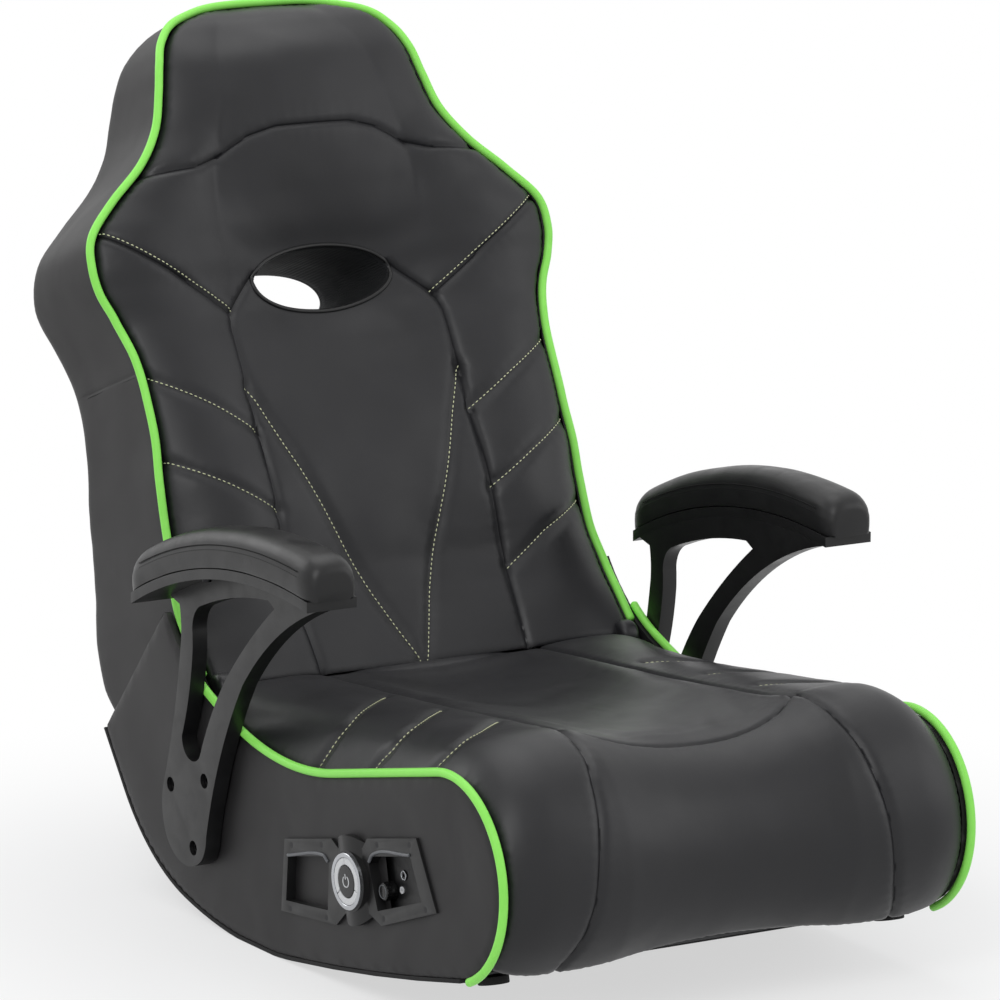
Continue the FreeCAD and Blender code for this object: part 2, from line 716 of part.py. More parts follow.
def seat_bolster():
    """Side bolster from the inner seam to the side edge, cut round the side board and hinge."""
    width = COVER_INNER - SEAT_SEAM_X
    shoulder = SEAT_BOLSTER_LIFT - (SEAT_BOLSTER_LIFT + COVER_INSET) / 2
    shape = ((0, SEAT_SEAM_LIFT, 1), (0.3, SEAT_BOLSTER_LIFT, 1), (0.6, SEAT_BOLSTER_LIFT, 0.9),
             (0.84, shoulder, 0.55), (1, -COVER_INSET, 0))
    foam = loft([seat_section(SEAT_SEAM_X + width * share, lift, fill) for share, lift, fill in shape])
    clear_x = BOARD_INNER - TEE_FLANGE_THICKNESS - FIT_GAP
    region = side_polygon(board_region(), clear_x, COVER_INNER)
    notch = hinge_notch(ARM_PLATE_INNER - HINGE_PLATE_THICKNESS, COVER_INNER)
    return foam.cut(region).cut(notch)


def seat_edge_path(x):
    """Points along the side edge from under the nose to the horn tip."""
    path = []
    nose_start = FRONT_SOLE_SLOPE - PIPING_TURN_IN
    nose_end = -180 - SEAT_SLOPE
    nose_steps = 24
    for i in range(nose_steps + 1):
        path.append(on_arc(NOSE_CENTRE, NOSE_RADIUS, nose_start + (nose_end - nose_start) * i / nose_steps))
    flat_steps = 3
    for i in range(1, flat_steps):
        path.append(moved(path[nose_steps], (cosine(SEAT_SLOPE), -sine(SEAT_SLOPE)),
                          SEAT_FLAT_LENGTH * i / flat_steps))
    dip_steps = 8
    for i in range(dip_steps + 1):
        slope = -SEAT_SLOPE + (SEAT_REAR_SLOPE + SEAT_SLOPE) * i / dip_steps
        path.append(on_arc(DIP_CENTRE, SEAT_DIP_RADIUS, slope))
    horn_steps = 7
    for i in range(horn_steps + 1):
        slope = SEAT_REAR_SLOPE + (HORN_ANGLE - SEAT_REAR_SLOPE) * i / horn_steps
        path.append(on_arc(HORN_CENTRE, HORN_RADIUS, slope))
    return [vec(x, y, z) for y, z in path]


def seat_piping():
    return ruled_tube(seat_edge_path(PIPING_X), PIPING_RADIUS)


# Hinge

def hinge_bracket():
    """Steel plate on the inside of the side board with the eye that holds the pin."""
    x0, x1 = BRACKET_INNER, BRACKET_OUTER
    top_depth = 2 * HINGE_EYE_RADIUS
    foot_z = deck_z(HINGE_Y) + PANEL_THICKNESS
    corners = [(HINGE_Y, HINGE_Z), back_yz(-PARTING_GAP, top_depth / 2),
               back_yz(-PARTING_GAP, 4 * top_depth)]
    low = [(corners[-1][0], foot_z), (HINGE_Y, foot_z)]
    plate = side_polygon(corners + low, x0, x1)
    plate = plate.fuse(cylinder_x(HINGE_Y, HINGE_Z, HINGE_EYE_RADIUS, x0, x1))
    plate = plate.cut(cylinder_x(HINGE_Y, HINGE_Z, HINGE_PIN_RADIUS, x0, x1))
    return plate.cut(arm_bolt_holes(TEE_FLANGE_RADIUS + FIT_GAP, x0, x1)).removeSplitter()


def hinge_arm_region(margin, x0, x1):
    """Side view of the back's hinge plate, grown by a margin."""
    points = [(-margin, -margin), (HINGE_ARM_HEIGHT + margin, TUBE_DEPTH - HINGE_EYE_RADIUS - margin),
              (HINGE_ARM_HEIGHT + margin, TUBE_DEPTH + HINGE_EYE_RADIUS + margin),
              (FRAME_FOOT_HEIGHT - margin, TUBE_DEPTH + HINGE_EYE_RADIUS + margin)]
    leg = side_polygon([back_yz(*p) for p in points], x0, x1)
    return leg.fuse(cylinder_x(HINGE_Y, HINGE_Z, HINGE_EYE_RADIUS + margin, x0, x1))


def hinge_arm():
    x0, x1 = ARM_PLATE_INNER, ARM_PLATE_OUTER
    plate = hinge_arm_region(0, x0, x1)
    bore = cylinder_x(HINGE_Y, HINGE_Z, HINGE_PIN_RADIUS + HINGE_RUNNING_CLEARANCE, x0, x1)
    return plate.cut(bore).removeSplitter()


def hinge_pin():
    """Pin fixed in the bracket, with a head each side of the two plates."""
    head = HINGE_PLATE_THICKNESS / 2
    inner = ARM_PLATE_INNER - HINGE_SIDE_GAP
    shank = cylinder_x(HINGE_Y, HINGE_Z, HINGE_PIN_RADIUS, inner, BRACKET_OUTER)
    inner_head = cylinder_x(HINGE_Y, HINGE_Z, HINGE_HEAD_RADIUS, inner - head, inner)
    outer_head = cylinder_x(HINGE_Y, HINGE_Z, HINGE_HEAD_RADIUS, BRACKET_OUTER, BRACKET_OUTER + head)
    return shank.fuse([inner_head, outer_head]).removeSplitter()


# Back: outer form

def back_section(row, shrink):
    """Section across the back at one station; shrink draws the rear and the sides in."""
    height, half, front, rear, seam, seam_lift, bolster_lift, centre_lift = row
    half = half - shrink
    rear = rear - shrink
    edge_x = half - PIPING_CHAMFER
    middle = (edge_x + seam) / 2
    corner = half - REAR_CORNER

    def place(x, depth):
        return back_point(x, height, depth)

    steps = [
        ((seam, front - seam_lift), (middle, front - bolster_lift)),
        ((-seam, front - seam_lift), (0, front - centre_lift)),
        ((-edge_x, front), (-middle, front - bolster_lift)),
        ((-half, front + PIPING_CHAMFER), None),
        ((-half, rear - REAR_CORNER), None),
        ((-corner, rear), None),
        ((corner, rear), (0, rear + REAR_CROWN)),
        ((half, rear - REAR_CORNER), None),
        ((half, front + PIPING_CHAMFER), None),
    ]
    return closed_wire((edge_x, front), steps, place)


def back_form():
    return loft([back_section(row, 0) for row in BACK_STATIONS])


def back_cavity():
    """Space behind the foam, inside the rear shell."""
    top = BACK_STATIONS[-1][0]
    rows = [row for row in BACK_STATIONS if SHELL_THICKNESS < row[0] < top]
    foot = (SHELL_THICKNESS,) + BACK_STATIONS[0][1:]
    inner = loft([back_section(row, SHELL_THICKNESS) for row in [foot] + rows])
    wide = BASE_HALF
    return inner.common(back_box(-wide, wide, 0, top, FOAM_DEPTH, 2 * TAIL_RADIUS))


def ellipse_prism(grow):
    """Solid through the back along its depth, with the neck opening's outline grown."""
    start = -FOAM_DEPTH
    centre = back_point(0, HOLE_HEIGHT, start)
    across = vec(1, 0, 0)
    along = vec(0, BACK_REARWARD[0], BACK_REARWARD[1])
    curve = Part.Ellipse(centre + across * (HOLE_HALF_WIDTH + grow),
                         centre + vec(0, BACK_UP[0], BACK_UP[1]) * (HOLE_HALF_HEIGHT + grow), centre)
    face = Part.Face(Part.Wire(curve.toShape()))
    return face.extrude(along * (4 * FOAM_DEPTH))


def back_front(form):
    """Foam half of the back, with the neck opening and the hinge slots cut."""
    wide = BASE_HALF
    top = BACK_STATIONS[-1][0]
    front = form.common(back_box(-wide, wide, -1, top + 1, -FOAM_DEPTH, FOAM_DEPTH))
    front = front.cut(ellipse_prism(COLLAR_WALL))
    slot_inner = ARM_PLATE_INNER - HINGE_PLATE_THICKNESS
    slot_outer = BRACKET_OUTER + HINGE_PLATE_THICKNESS
    slot = hinge_arm_region(NOTCH_CLEARANCE, slot_inner, slot_outer)
    return front.cut(slot).cut(mirrored(slot))


def back_rear_shell(form, cavity):
    wide = BASE_HALF
    top = BACK_STATIONS[-1][0]
    rear = form.common(back_box(-wide, wide, -1, top + 1, FOAM_DEPTH, 2 * TAIL_RADIUS))
    shell = rear.cut(cavity).cut(ellipse_prism(COLLAR_WALL))
    slot_inner = ARM_PLATE_INNER - HINGE_PLATE_THICKNESS
    slot_outer = BRACKET_OUTER + HINGE_PLATE_THICKNESS
    slot = hinge_arm_region(NOTCH_CLEARANCE, slot_inner, slot_outer)
    return shell.cut(slot).cut(mirrored(slot))


def back_upholstery(front):
    """Headrest, centre pad and the two side bolsters, split at their seams."""
    wide = BASE_HALF
    top = BACK_STATIONS[-1][0] + 1
    head = front.common(back_box(-wide, wide, HEAD_SPLIT_HEIGHT, top, -FOAM_DEPTH, FOAM_DEPTH))
    body = front.common(back_box(-wide, wide, -1, HEAD_SPLIT_HEIGHT, -FOAM_DEPTH, FOAM_DEPTH))
    seam = BACK_SEAM_X
    centre = body.common(back_box(-seam, seam, -1, HEAD_SPLIT_HEIGHT, -FOAM_DEPTH, FOAM_DEPTH))
    left = body.common(back_box(seam, wide, -1, HEAD_SPLIT_HEIGHT, -FOAM_DEPTH, FOAM_DEPTH))
    right = body.common(back_box(-wide, -seam, -1, HEAD_SPLIT_HEIGHT, -FOAM_DEPTH, FOAM_DEPTH))
    return head, centre, left, right


def neck_collar(form):
    """Lining of the neck opening, flush with the front and rear surfaces."""
    return form.common(ellipse_prism(COLLAR_WALL).cut(ellipse_prism(0)))


def back_edge_path():
    """Front edge of the back from the left parting line over the head to the right one."""
    parting = (HORN_TIP[0] - HINGE_Y) * BACK_UP[0] + (HORN_TIP[1] - HINGE_Z) * BACK_UP[1] + PIPING_DIAMETER
    rows = [row for row in BACK_STATIONS if row[0] > parting]
    foot = max(row for row in BACK_STATIONS if row[0] <= parting)
    share = (parting - foot[0]) / (rows[0][0] - foot[0])
    first = tuple(a + (b - a) * share for a, b in zip(foot, rows[0]))
    side = [back_point(row[1], row[0], row[2]) for row in [first] + rows[:-1]]
    last = BACK_STATIONS[-1]
    top = [back_point(x, last[0] + COVER_INSET, last[2]) for x in (last[1], 0, -last[1])]
    return side + top + [vec(-p.x, p.y, p.z) for p in reversed(side)]


def back_piping():
    return ruled_tube(back_edge_path(), PIPING_RADIUS)


# Back: inside

def bend(before, corner, after, radius):
    """Tangent points and middle of the arc that rounds one corner of a path."""
    a = (before - corner).normalize()
    b = (after - corner).normalize()
    half = a.getAngle(b) / 2
    reach = radius / math.tan(half)
    middle = (a + b).normalize() * (radius / math.sin(half) - radius)
    return corner + a * reach, corner + middle, corner + b * reach


def swept_tube(path, start, along):
    """Hollow tube along a path of lines and arcs."""
    tubes = []
    for radius in (FRAME_TUBE_RADIUS, FRAME_TUBE_RADIUS - TUBE_WALL):
        circle = Part.Wire(Part.makeCircle(radius, start, along))
        tubes.append(path.makePipeShell([circle], True, True))
    return tubes[0].cut(tubes[1])


def back_frame():
    path, start = back_frame_path()
    return swept_tube(path, start, vec(0, BACK_UP[0], BACK_UP[1]))


def rounded_path(corners):
    """Lines through the corners with an arc at each bend."""
    edges = []
    here = corners[0]
    for before, corner, after in zip(corners, corners[1:], corners[2:]):
        start, middle, end = bend(before, corner, after, FRAME_BEND_RADIUS)
        edges += [edge([here, start]), edge([start, middle, end])]
        here = end
    edges.append(edge([here, corners[-1]]))
    return Part.Wire(edges)


def back_frame_path():
    """One bent steel tube: up both sides, in at the shoulders and across the head."""
    plan = [(FRAME_HALF_WIDTH, FRAME_FOOT_HEIGHT), (FRAME_HALF_WIDTH, FRAME_BEND_HEIGHT),
            (FRAME_NECK_HALF_WIDTH, FRAME_NECK_HEIGHT), (FRAME_NECK_HALF_WIDTH, FRAME_TOP_HEIGHT)]
    corners = [back_point(x, height, TUBE_DEPTH) for x, height in plan]
    corners += [vec(-p.x, p.y, p.z) for p in reversed(corners)]
    return rounded_path(corners), corners[0]


def seat_frame():
    """Bent steel tube under the deck, round its front corners."""
    drop = DECK_THICKNESS + FRAME_TUBE_RADIUS + FIT_GAP

    def corner(x, y):
        return vec(x, y, deck_z(y) - drop)

    plan = [(SEAT_FRAME_HALF_WIDTH, SEAT_FRAME_REAR_Y), (SEAT_FRAME_HALF_WIDTH, SEAT_FRAME_FRONT_Y),
            (-SEAT_FRAME_HALF_WIDTH, SEAT_FRAME_FRONT_Y), (-SEAT_FRAME_HALF_WIDTH, SEAT_FRAME_REAR_Y)]
    corners = [corner(x, y) for x, y in plan]
    return swept_tube(rounded_path(corners), corners[0], corners[1] - corners[0])


def back_crossbars(frame):
    bars = []
    for height in CROSSBAR_HEIGHTS:
        start = back_point(-FRAME_HALF_WIDTH, height, TUBE_DEPTH)
        bar = Part.makeCylinder(CROSSBAR_RADIUS, 2 * FRAME_HALF_WIDTH, start, vec(1, 0, 0))
        bore = Part.makeCylinder(CROSSBAR_RADIUS - TUBE_WALL, 2 * FRAME_HALF_WIDTH, start, vec(1, 0, 0))
        bars.append(max(bar.cut(bore).cut(frame).Solids, key=lambda solid: solid.Volume))
    return Part.makeCompound(bars)


def lumbar_board():
    x = LUMBAR_BOARD_HALF_WIDTH
    return back_box(-x, x, LUMBAR_BOARD_BOTTOM, LUMBAR_BOARD_TOP, FOAM_DEPTH,
                    FOAM_DEPTH + LUMBAR_BOARD_THICKNESS)


def speaker():
    """Small driver beside the neck opening, facing into it, with its magnet behind."""
    inner = HOLE_HALF_WIDTH + COLLAR_WALL + FIT_GAP
    y, z = back_yz(HOLE_HEIGHT, SPEAKER_DEPTH)
    flange = cylinder_x(y, z, SPEAKER_RADIUS, inner, inner + SPEAKER_LENGTH / 4)
    basket = Part.makeCone(SPEAKER_RADIUS - FIT_GAP, SPEAKER_RADIUS / 2, SPEAKER_LENGTH / 2,
                           vec(inner + SPEAKER_LENGTH / 4, y, z), vec(1, 0, 0))
    magnet_start = inner + SPEAKER_LENGTH * 3 / 4
    magnet = cylinder_x(y, z, SPEAKER_MAGNET_RADIUS, magnet_start, inner + SPEAKER_LENGTH)
    return flange.fuse([basket, magnet]).removeSplitter()


def under_deck(y, drop):
    """Side-view point below the seat deck's underside, measured square to the deck."""
    fall = math.atan2(DECK_REAR_Z - DECK_FRONT_Z, HINGE_Y - FRONT_BOARD_Y)
    down = (math.sin(fall), -math.cos(fall))
    return moved((y, deck_z(y) - DECK_THICKNESS), down, drop)


def bass_axis_cylinder(radius, drop0, drop1):
    top = under_deck(BASS_BOX_Y, drop0)
    low = under_deck(BASS_BOX_Y, drop1)
    along = vec(0, low[0] - top[0], low[1] - top[1])
    return Part.makeCylinder(radius, drop1 - drop0, vec(0, *top), along)


def bass_block(inset):
    half = BASS_BOX_LENGTH / 2 - inset
    wide = BASS_BOX_WIDTH / 2 - inset
    corners = [under_deck(BASS_BOX_Y + sign * half, drop)
               for sign, drop in ((-1, inset), (1, inset), (1, BASS_BOX_DEPTH - inset),
                                  (-1, BASS_BOX_DEPTH - inset))]
    return side_polygon(corners, -wide, wide)


def bass_box():
    """Closed box hung under the seat deck, open only at its driver."""
    wall = BASS_BOX_WALL
    hole = bass_axis_cylinder(BASS_DRIVER_RADIUS, BASS_BOX_DEPTH - wall, BASS_BOX_DEPTH)
    return bass_block(0).cut(bass_block(wall)).cut(hole)


def bass_driver():
    """Driver let into the box from below: flange, hollow cone and magnet."""
    flange = bass_axis_cylinder(BASS_DRIVER_RADIUS + BASS_BOX_WALL, BASS_BOX_DEPTH,
                                BASS_BOX_DEPTH + BASS_DRIVER_FLANGE)
    top = BASS_BOX_DEPTH - BASS_DRIVER_DEPTH / 2
    basket = bass_axis_cylinder(BASS_DRIVER_RADIUS - FIT_GAP, top, BASS_BOX_DEPTH)
    magnet = bass_axis_cylinder(BASS_DRIVER_RADIUS / 2, BASS_BOX_DEPTH - BASS_DRIVER_DEPTH, top)
    low = under_deck(BASS_BOX_Y, BASS_BOX_DEPTH + BASS_DRIVER_FLANGE)
    high = under_deck(BASS_BOX_Y, top)
    cone = Part.makeCone(BASS_DRIVER_RADIUS - BASS_DRIVER_FLANGE, BASS_DRIVER_RADIUS / 2,
                         math.dist(low, high) - BASS_DRIVER_FLANGE, vec(0, *low),
                          vec(0, high[0] - low[0], high[1] - low[1]))
    return flange.fuse([basket, magnet]).removeSplitter().cut(cone)


# Armrests

def pad_arc(lift, y):
    """Height of the pad's arc, raised by lift, at this place."""
    return PAD_ARC_Z + math.sqrt((PAD_ARC_RADIUS + lift) ** 2 - (y - PAD_APEX_Y) ** 2)


def arc_band(lift0, lift1, front, rear, x0, x1):
    """Solid along the pad's arc between two lifts."""
    middle = (front + rear) / 2
    start = (front, pad_arc(lift0, front))
    steps = [
        ((rear, pad_arc(lift0, rear)), (middle, pad_arc(lift0, middle))),
        ((rear, pad_arc(lift1, rear)), None),
        ((front, pad_arc(lift1, front)), (middle, pad_arc(lift1, middle))),
    ]
    return side_prism(start, steps, x0, x1)


def arm_frame_outline():
    """Wishbone outline: under the tray, down the front leg, round the foot and up the rear leg."""
    under = -TRAY_THICKNESS
    middle = (ARM_TOP_FRONT_Y + ARM_TOP_REAR_Y) / 2
    front, rear, via = ((y, pad_arc(under, y)) for y in (ARM_TOP_FRONT_Y, ARM_TOP_REAR_Y, middle))
    return front, list(ARM_LEG_POINTS) + [(rear, None), (front, via)]


def arm_frame():
    start, steps = arm_frame_outline()
    frame = side_prism(start, steps, ARM_INNER, ARM_OUTER)
    frame = frame.cut(side_prism(ARM_LOOP_START, list(ARM_LOOP_POINTS), ARM_INNER, ARM_OUTER))
    bosses = [cylinder_x(y, z, BOSS_RADIUS, BASE_HALF, ARM_INNER) for y, z in ARM_BOLT_POINTS]
    frame = frame.fuse(bosses)
    frame = frame.cut(arm_bolt_holes(ARM_BOLT_RADIUS + BOLT_CLEARANCE, BASE_HALF, ARM_OUTER))
    recess = arm_bolt_holes(ARM_BOLT_RECESS_RADIUS, ARM_OUTER - ARM_BOLT_RECESS_DEPTH, ARM_OUTER)
    return frame.cut(recess).removeSplitter()


def arm_bolts():
    seat = ARM_OUTER - ARM_BOLT_RECESS_DEPTH
    bolts = []
    for y, z in ARM_BOLT_POINTS:
        shank = cylinder_x(y, z, ARM_BOLT_RADIUS, BOARD_INNER, seat)
        head = cylinder_x(y, z, ARM_BOLT_HEAD_RADIUS, seat, seat + ARM_BOLT_HEAD_HEIGHT)
        socket = cylinder_x(y, z, ARM_BOLT_HEAD_RADIUS / 2, seat + ARM_BOLT_HEAD_HEIGHT / 2,
                            seat + ARM_BOLT_HEAD_HEIGHT)
        bolts.append(shank.fuse(head).removeSplitter().cut(socket))
    return Part.makeCompound(bolts)


def tee_nuts():
    nuts = []
    for y, z in ARM_BOLT_POINTS:
        barrel = ring_x(y, z, TEE_NUT_RADIUS, ARM_BOLT_RADIUS, BOARD_INNER, BOARD_INNER + TEE_NUT_DEPTH)
        flange = ring_x(y, z, TEE_FLANGE_RADIUS, ARM_BOLT_RADIUS,
                        BOARD_INNER - TEE_FLANGE_THICKNESS, BOARD_INNER)
        nuts.append(barrel.fuse(flange).removeSplitter())
    nuts += [mirrored(nut) for nut in nuts]
    return Part.makeCompound(nuts)


def arm_tray():
    tray = arc_band(-TRAY_THICKNESS, 0, PAD_FRONT_Y + TRAY_END_INSET, PAD_REAR_Y - TRAY_END_INSET,
                    ARM_INNER, PAD_OUTER - SEW_GAP)
    return tray.cut(pad_screw_set(PAD_SCREW_RADIUS, PAD_SCREW_HEAD_RADIUS))


def pad_screw_set(radius, head_radius):
    """Two screws up through the tray, beside the arm plate, into the pad's board."""
    x = (ARM_OUTER + PAD_OUTER) / 2
    screws = []
    for y in PAD_SCREW_YS:
        under = pad_arc(-TRAY_THICKNESS, y)
        shank = Part.makeCylinder(radius, TRAY_THICKNESS + PAD_SCREW_BITE, vec(x, y, under), vec(0, 0, 1))
        head = Part.makeCylinder(head_radius, 2 * PAD_SCREW_HEAD_HEIGHT,
                                 vec(x, y, under - PAD_SCREW_HEAD_HEIGHT), vec(0, 0, 1))
        screws.append(shank.fuse(head).removeSplitter())
    return Part.makeCompound(screws)


def pad_screws():
    right_side = pad_screw_set(PAD_SCREW_RADIUS, PAD_SCREW_HEAD_RADIUS)
    return Part.makeCompound(right_side.Solids + mirrored(right_side).Solids)


def pad_section(y, drop, draw):
    """Section across the pad: flat below, upright sides and a crowned top."""
    base = pad_arc(PAD_GAP, y)
    inner = ARM_INNER + draw
    outer = PAD_OUTER - draw
    shoulder = base + PAD_SIDE_HEIGHT - drop / 2
    top = shoulder + PAD_CROWN - drop

    def place(x, z):
        return vec(x, y, z)

    steps = [((outer, base), None), ((outer, shoulder), None), ((inner, shoulder), (PAD_CENTRE_X, top))]
    return closed_wire((inner, base), steps, place)


def arm_pad():
    """Upholstered pad, crowned along and across, with drawn-in ends."""
    length = PAD_REAR_Y - PAD_FRONT_Y
    ends = ((0, PAD_END_DROP, 4), (0.03, PAD_END_DROP / 2, 1), (0.1, 0, 0))
    rows = list(ends) + [(share / 10, 0, 0) for share in range(2, 9)]
    rows += [(1 - share, drop, draw) for share, drop, draw in reversed(ends)]
    pad = loft([pad_section(PAD_FRONT_Y + length * share, drop, draw) for share, drop, draw in rows])
    return pad.cut(pad_screw_set(PAD_SCREW_RADIUS, PAD_SCREW_HEAD_RADIUS))


# Control panel, drawn on the sitter's right at negative X

PANEL_FORWARD = (-cosine(PANEL_TILT), sine(PANEL_TILT))
PANEL_UP = (sine(PANEL_TILT), cosine(PANEL_TILT))
PLATE_FACE = BASE_HALF + PANEL_FLANGE
RECESS_FLOOR = PLATE_FACE - RECESS_FLOOR_DEPTH - PANEL_FLANGE
TOWER_FACE = PLATE_FACE + TOWER_RISE
BEZEL_FACE = PLATE_FACE + BEZEL_RISE
BUTTON_FACE = BEZEL_FACE - BUTTON_PROUD
BUTTON_BACK = BUTTON_FACE - BUTTON_DEPTH
BUTTON_WELL = BUTTON_BACK - 2 * BUTTON_TRAVEL


def panel_yz(forward, up):
    return moved(moved((PANEL_Y, PANEL_Z), PANEL_FORWARD, forward), PANEL_UP, up)


def panel_prism(points, x0, x1):
    return side_polygon([panel_yz(*p) for p in points], -x0, -x1)


def panel_cylinder(forward, up, radius, x0, x1):
    y, z = panel_yz(forward, up)
    return cylinder_x(y, z, radius, -x0, -x1)


def grown(points, distance):
    """Polygon whose corners are moved away from its centre."""
    centre = (sum(p[0] for p in points) / len(points), sum(p[1] for p in points) / len(points))
    away = [(p[0] - centre[0], p[1] - centre[1]) for p in points]
    return [moved(p, way, distance / math.hypot(*way)) for p, way in zip(points, away)]


def panel_opening(x0, x1):
    """Hole through the side of the base, behind the wings and the tower."""
    round_part = panel_cylinder(*RING_AT, BEZEL_RADIUS + 2 * RECESS_WALL, x0, x1)
    return panel_prism(PANEL_OPENING, x0, x1).fuse(round_part)


def tower():
    """Upright half-round column between the wings, with a rounded top and foot."""
    points = [vec(-BASE_HALF, *panel_yz(-TOWER_HALF_WIDTH, TOWER_BOTTOM)),
              vec(-TOWER_FACE, *panel_yz(0, TOWER_BOTTOM)),
              vec(-BASE_HALF, *panel_yz(TOWER_HALF_WIDTH, TOWER_BOTTOM))]
    face = Part.Face(Part.Wire([edge(points), edge([points[2], points[0]])]))
    height = TOWER_TOP - TOWER_BOTTOM
    body = face.extrude(vec(0, PANEL_UP[0] * height, PANEL_UP[1] * height))
    middle = (TOWER_TOP + TOWER_BOTTOM) / 2
    return body.common(panel_cylinder(0, middle, height / 2, BASE_HALF, TOWER_FACE))


def control_panel():
    """Moulded housing: two recessed wings and the tower that holds the button ring."""
    plate = panel_prism(PLATE_NECK, BASE_HALF, PLATE_FACE)
    plate = plate.fuse([panel_prism(wing, BASE_HALF, PLATE_FACE) for wing in PLATE_WINGS])
    plate = plate.fuse(tower())
    for recess in RECESSES:
        outer = grown(recess, RECESS_WALL)
        plate = plate.fuse(panel_prism(outer, RECESS_FLOOR - RECESS_WALL, PLATE_FACE))
        plate = plate.cut(panel_prism(recess, RECESS_FLOOR, PLATE_FACE + TOWER_RISE))
    plate = plate.fuse(panel_cylinder(*RING_AT, BEZEL_RADIUS + RECESS_WALL, RECESS_FLOOR, TOWER_FACE))
    plate = plate.cut(panel_cylinder(*RING_AT, BEZEL_RADIUS, BUTTON_WELL, BEZEL_FACE))
    for forward, up in PANEL_SCREWS:
        plate = plate.cut(panel_cylinder(forward, up, SCREW_RADIUS, BASE_HALF, PLATE_FACE))
        head = panel_cylinder(forward, up, SCREW_HEAD_RADIUS, PLATE_FACE - SCREW_HEAD_HEIGHT, PLATE_FACE)
        plate = plate.cut(head)
    for forward, up, radius in PORT_BORES:
        plate = plate.cut(panel_cylinder(forward, up, radius, RECESS_FLOOR - RECESS_WALL, RECESS_FLOOR))
    knob_hole = KNOB_STEM_RADIUS + BUTTON_SLIDING_GAP
    plate = plate.cut(panel_cylinder(*KNOB_AT, knob_hole, RECESS_FLOOR - RECESS_WALL, RECESS_FLOOR))
    return plate.removeSplitter()


def jack(place):
    """Round socket whose barrel fills its hole in the recess floor."""
    forward, up, radius = place
    face = RECESS_FLOOR + JACK_PROUD
    body = panel_cylinder(forward, up, radius, RECESS_FLOOR - JACK_BODY, face)
    bore = panel_cylinder(forward, up, JACK_BORE, RECESS_FLOOR - JACK_BODY + JACK_END_WALL, face)
    return body.cut(bore)


def ring_bezel():
    return ring_x(*panel_yz(*RING_AT), BEZEL_RADIUS, BEZEL_BORE, -BEZEL_FACE, -BUTTON_BACK)


def ring_button(index):
    """One of the curved keys round the power button."""
    outer = BEZEL_BORE - BUTTON_SLIDING_GAP
    ring = ring_x(*panel_yz(*RING_AT), outer, outer - RING_WIDTH, -BUTTON_FACE, -BUTTON_BACK)
    span = 360 / RING_PARTS
    middle = RING_FIRST_ANGLE + span * index
    reach = 2 * outer
    turns = [middle + span * share for share in (-0.5, -0.25, 0.25, 0.5)]
    spokes = [(cosine(turn), sine(turn)) for turn in turns]
    sector = [RING_AT] + [moved(RING_AT, spoke, reach) for spoke in spokes]
    part = ring.common(panel_prism(sector, BUTTON_BACK, BUTTON_FACE))
    for spoke in (spokes[0], spokes[-1]):
        side = (-spoke[1], spoke[0])
        far = moved(RING_AT, spoke, reach)
        slot = [moved(RING_AT, side, RING_SLOT / 2), moved(far, side, RING_SLOT / 2),
                moved(far, side, -RING_SLOT / 2), moved(RING_AT, side, -RING_SLOT / 2)]
        part = part.cut(panel_prism(slot, BUTTON_BACK, BUTTON_FACE))
    return part


def power_button():
    radius = BEZEL_BORE - 2 * BUTTON_SLIDING_GAP - RING_WIDTH - BUTTON_SLIDING_GAP
    return panel_cylinder(*RING_AT, radius, BUTTON_BACK, BUTTON_FACE)


def volume_knob():
    """Thumb knob standing off the recess floor on its stem."""
    knob_back = RECESS_FLOOR + FIT_GAP
    knob = panel_cylinder(*KNOB_AT, KNOB_RADIUS, knob_back, knob_back + KNOB_LENGTH)
    stem = panel_cylinder(*KNOB_AT, KNOB_STEM_RADIUS, RECESS_FLOOR - RECESS_WALL, RECESS_FLOOR + FIT_GAP)
    half = KNOB_MARK_WIDTH / 2
    low = moved(KNOB_AT, (0, 1), KNOB_RADIUS / 2)
    high = moved(KNOB_AT, (0, 1), KNOB_RADIUS)
    mark = ((low[0] - half, low[1]), (low[0] + half, low[1]),
            (high[0] + half, high[1]), (high[0] - half, high[1]))
    pointer = panel_prism(mark, RECESS_FLOOR + KNOB_LENGTH, RECESS_FLOOR + FIT_GAP + KNOB_LENGTH)
    return knob.fuse(stem).removeSplitter().cut(pointer)


def panel_screws():
    screws = []
    for forward, up in PANEL_SCREWS:
        shank = panel_cylinder(forward, up, SCREW_RADIUS, PLATE_FACE - SCREW_LENGTH,
                               PLATE_FACE - SCREW_HEAD_HEIGHT)
        head = panel_cylinder(forward, up, SCREW_HEAD_RADIUS, PLATE_FACE - SCREW_HEAD_HEIGHT, PLATE_FACE)
        screws.append(shank.fuse(head).removeSplitter())
    return Part.makeCompound(screws)


def control_box_room(margin, x0, x1):
    return panel_prism(grown(BOX_CORNERS, margin), x0, x1)


def control_box():
    """Tray behind the panel that carries the amplifier and keeps the foam off it."""
    outer = BOARD_INNER
    inner = outer - CONTROL_BOX_DEPTH
    box = control_box_room(0, inner, outer)
    return box.cut(control_box_room(-4 * CONTROL_BOX_WALL, inner + CONTROL_BOX_WALL, outer))


def amplifier_board():
    inner = BOARD_INNER - CONTROL_BOX_DEPTH + CONTROL_BOX_WALL
    face = inner + CIRCUIT_BOARD_THICKNESS
    plate = panel_prism(CIRCUIT_BOARD_CORNERS, inner, face)
    chip = panel_prism(HEAT_SINK_CORNERS, face, face + HEAT_SINK_HEIGHT)
    return plate.fuse(chip).removeSplitter()


def save(name, shape):
    """Write one piece, moved so that the origin is under the middle of the chair."""
    placed = shape.copy()
    placed.translate(vec(0, -PLAN_CENTRE, 0))
    placed.exportStep("parts/" + name + ".step")


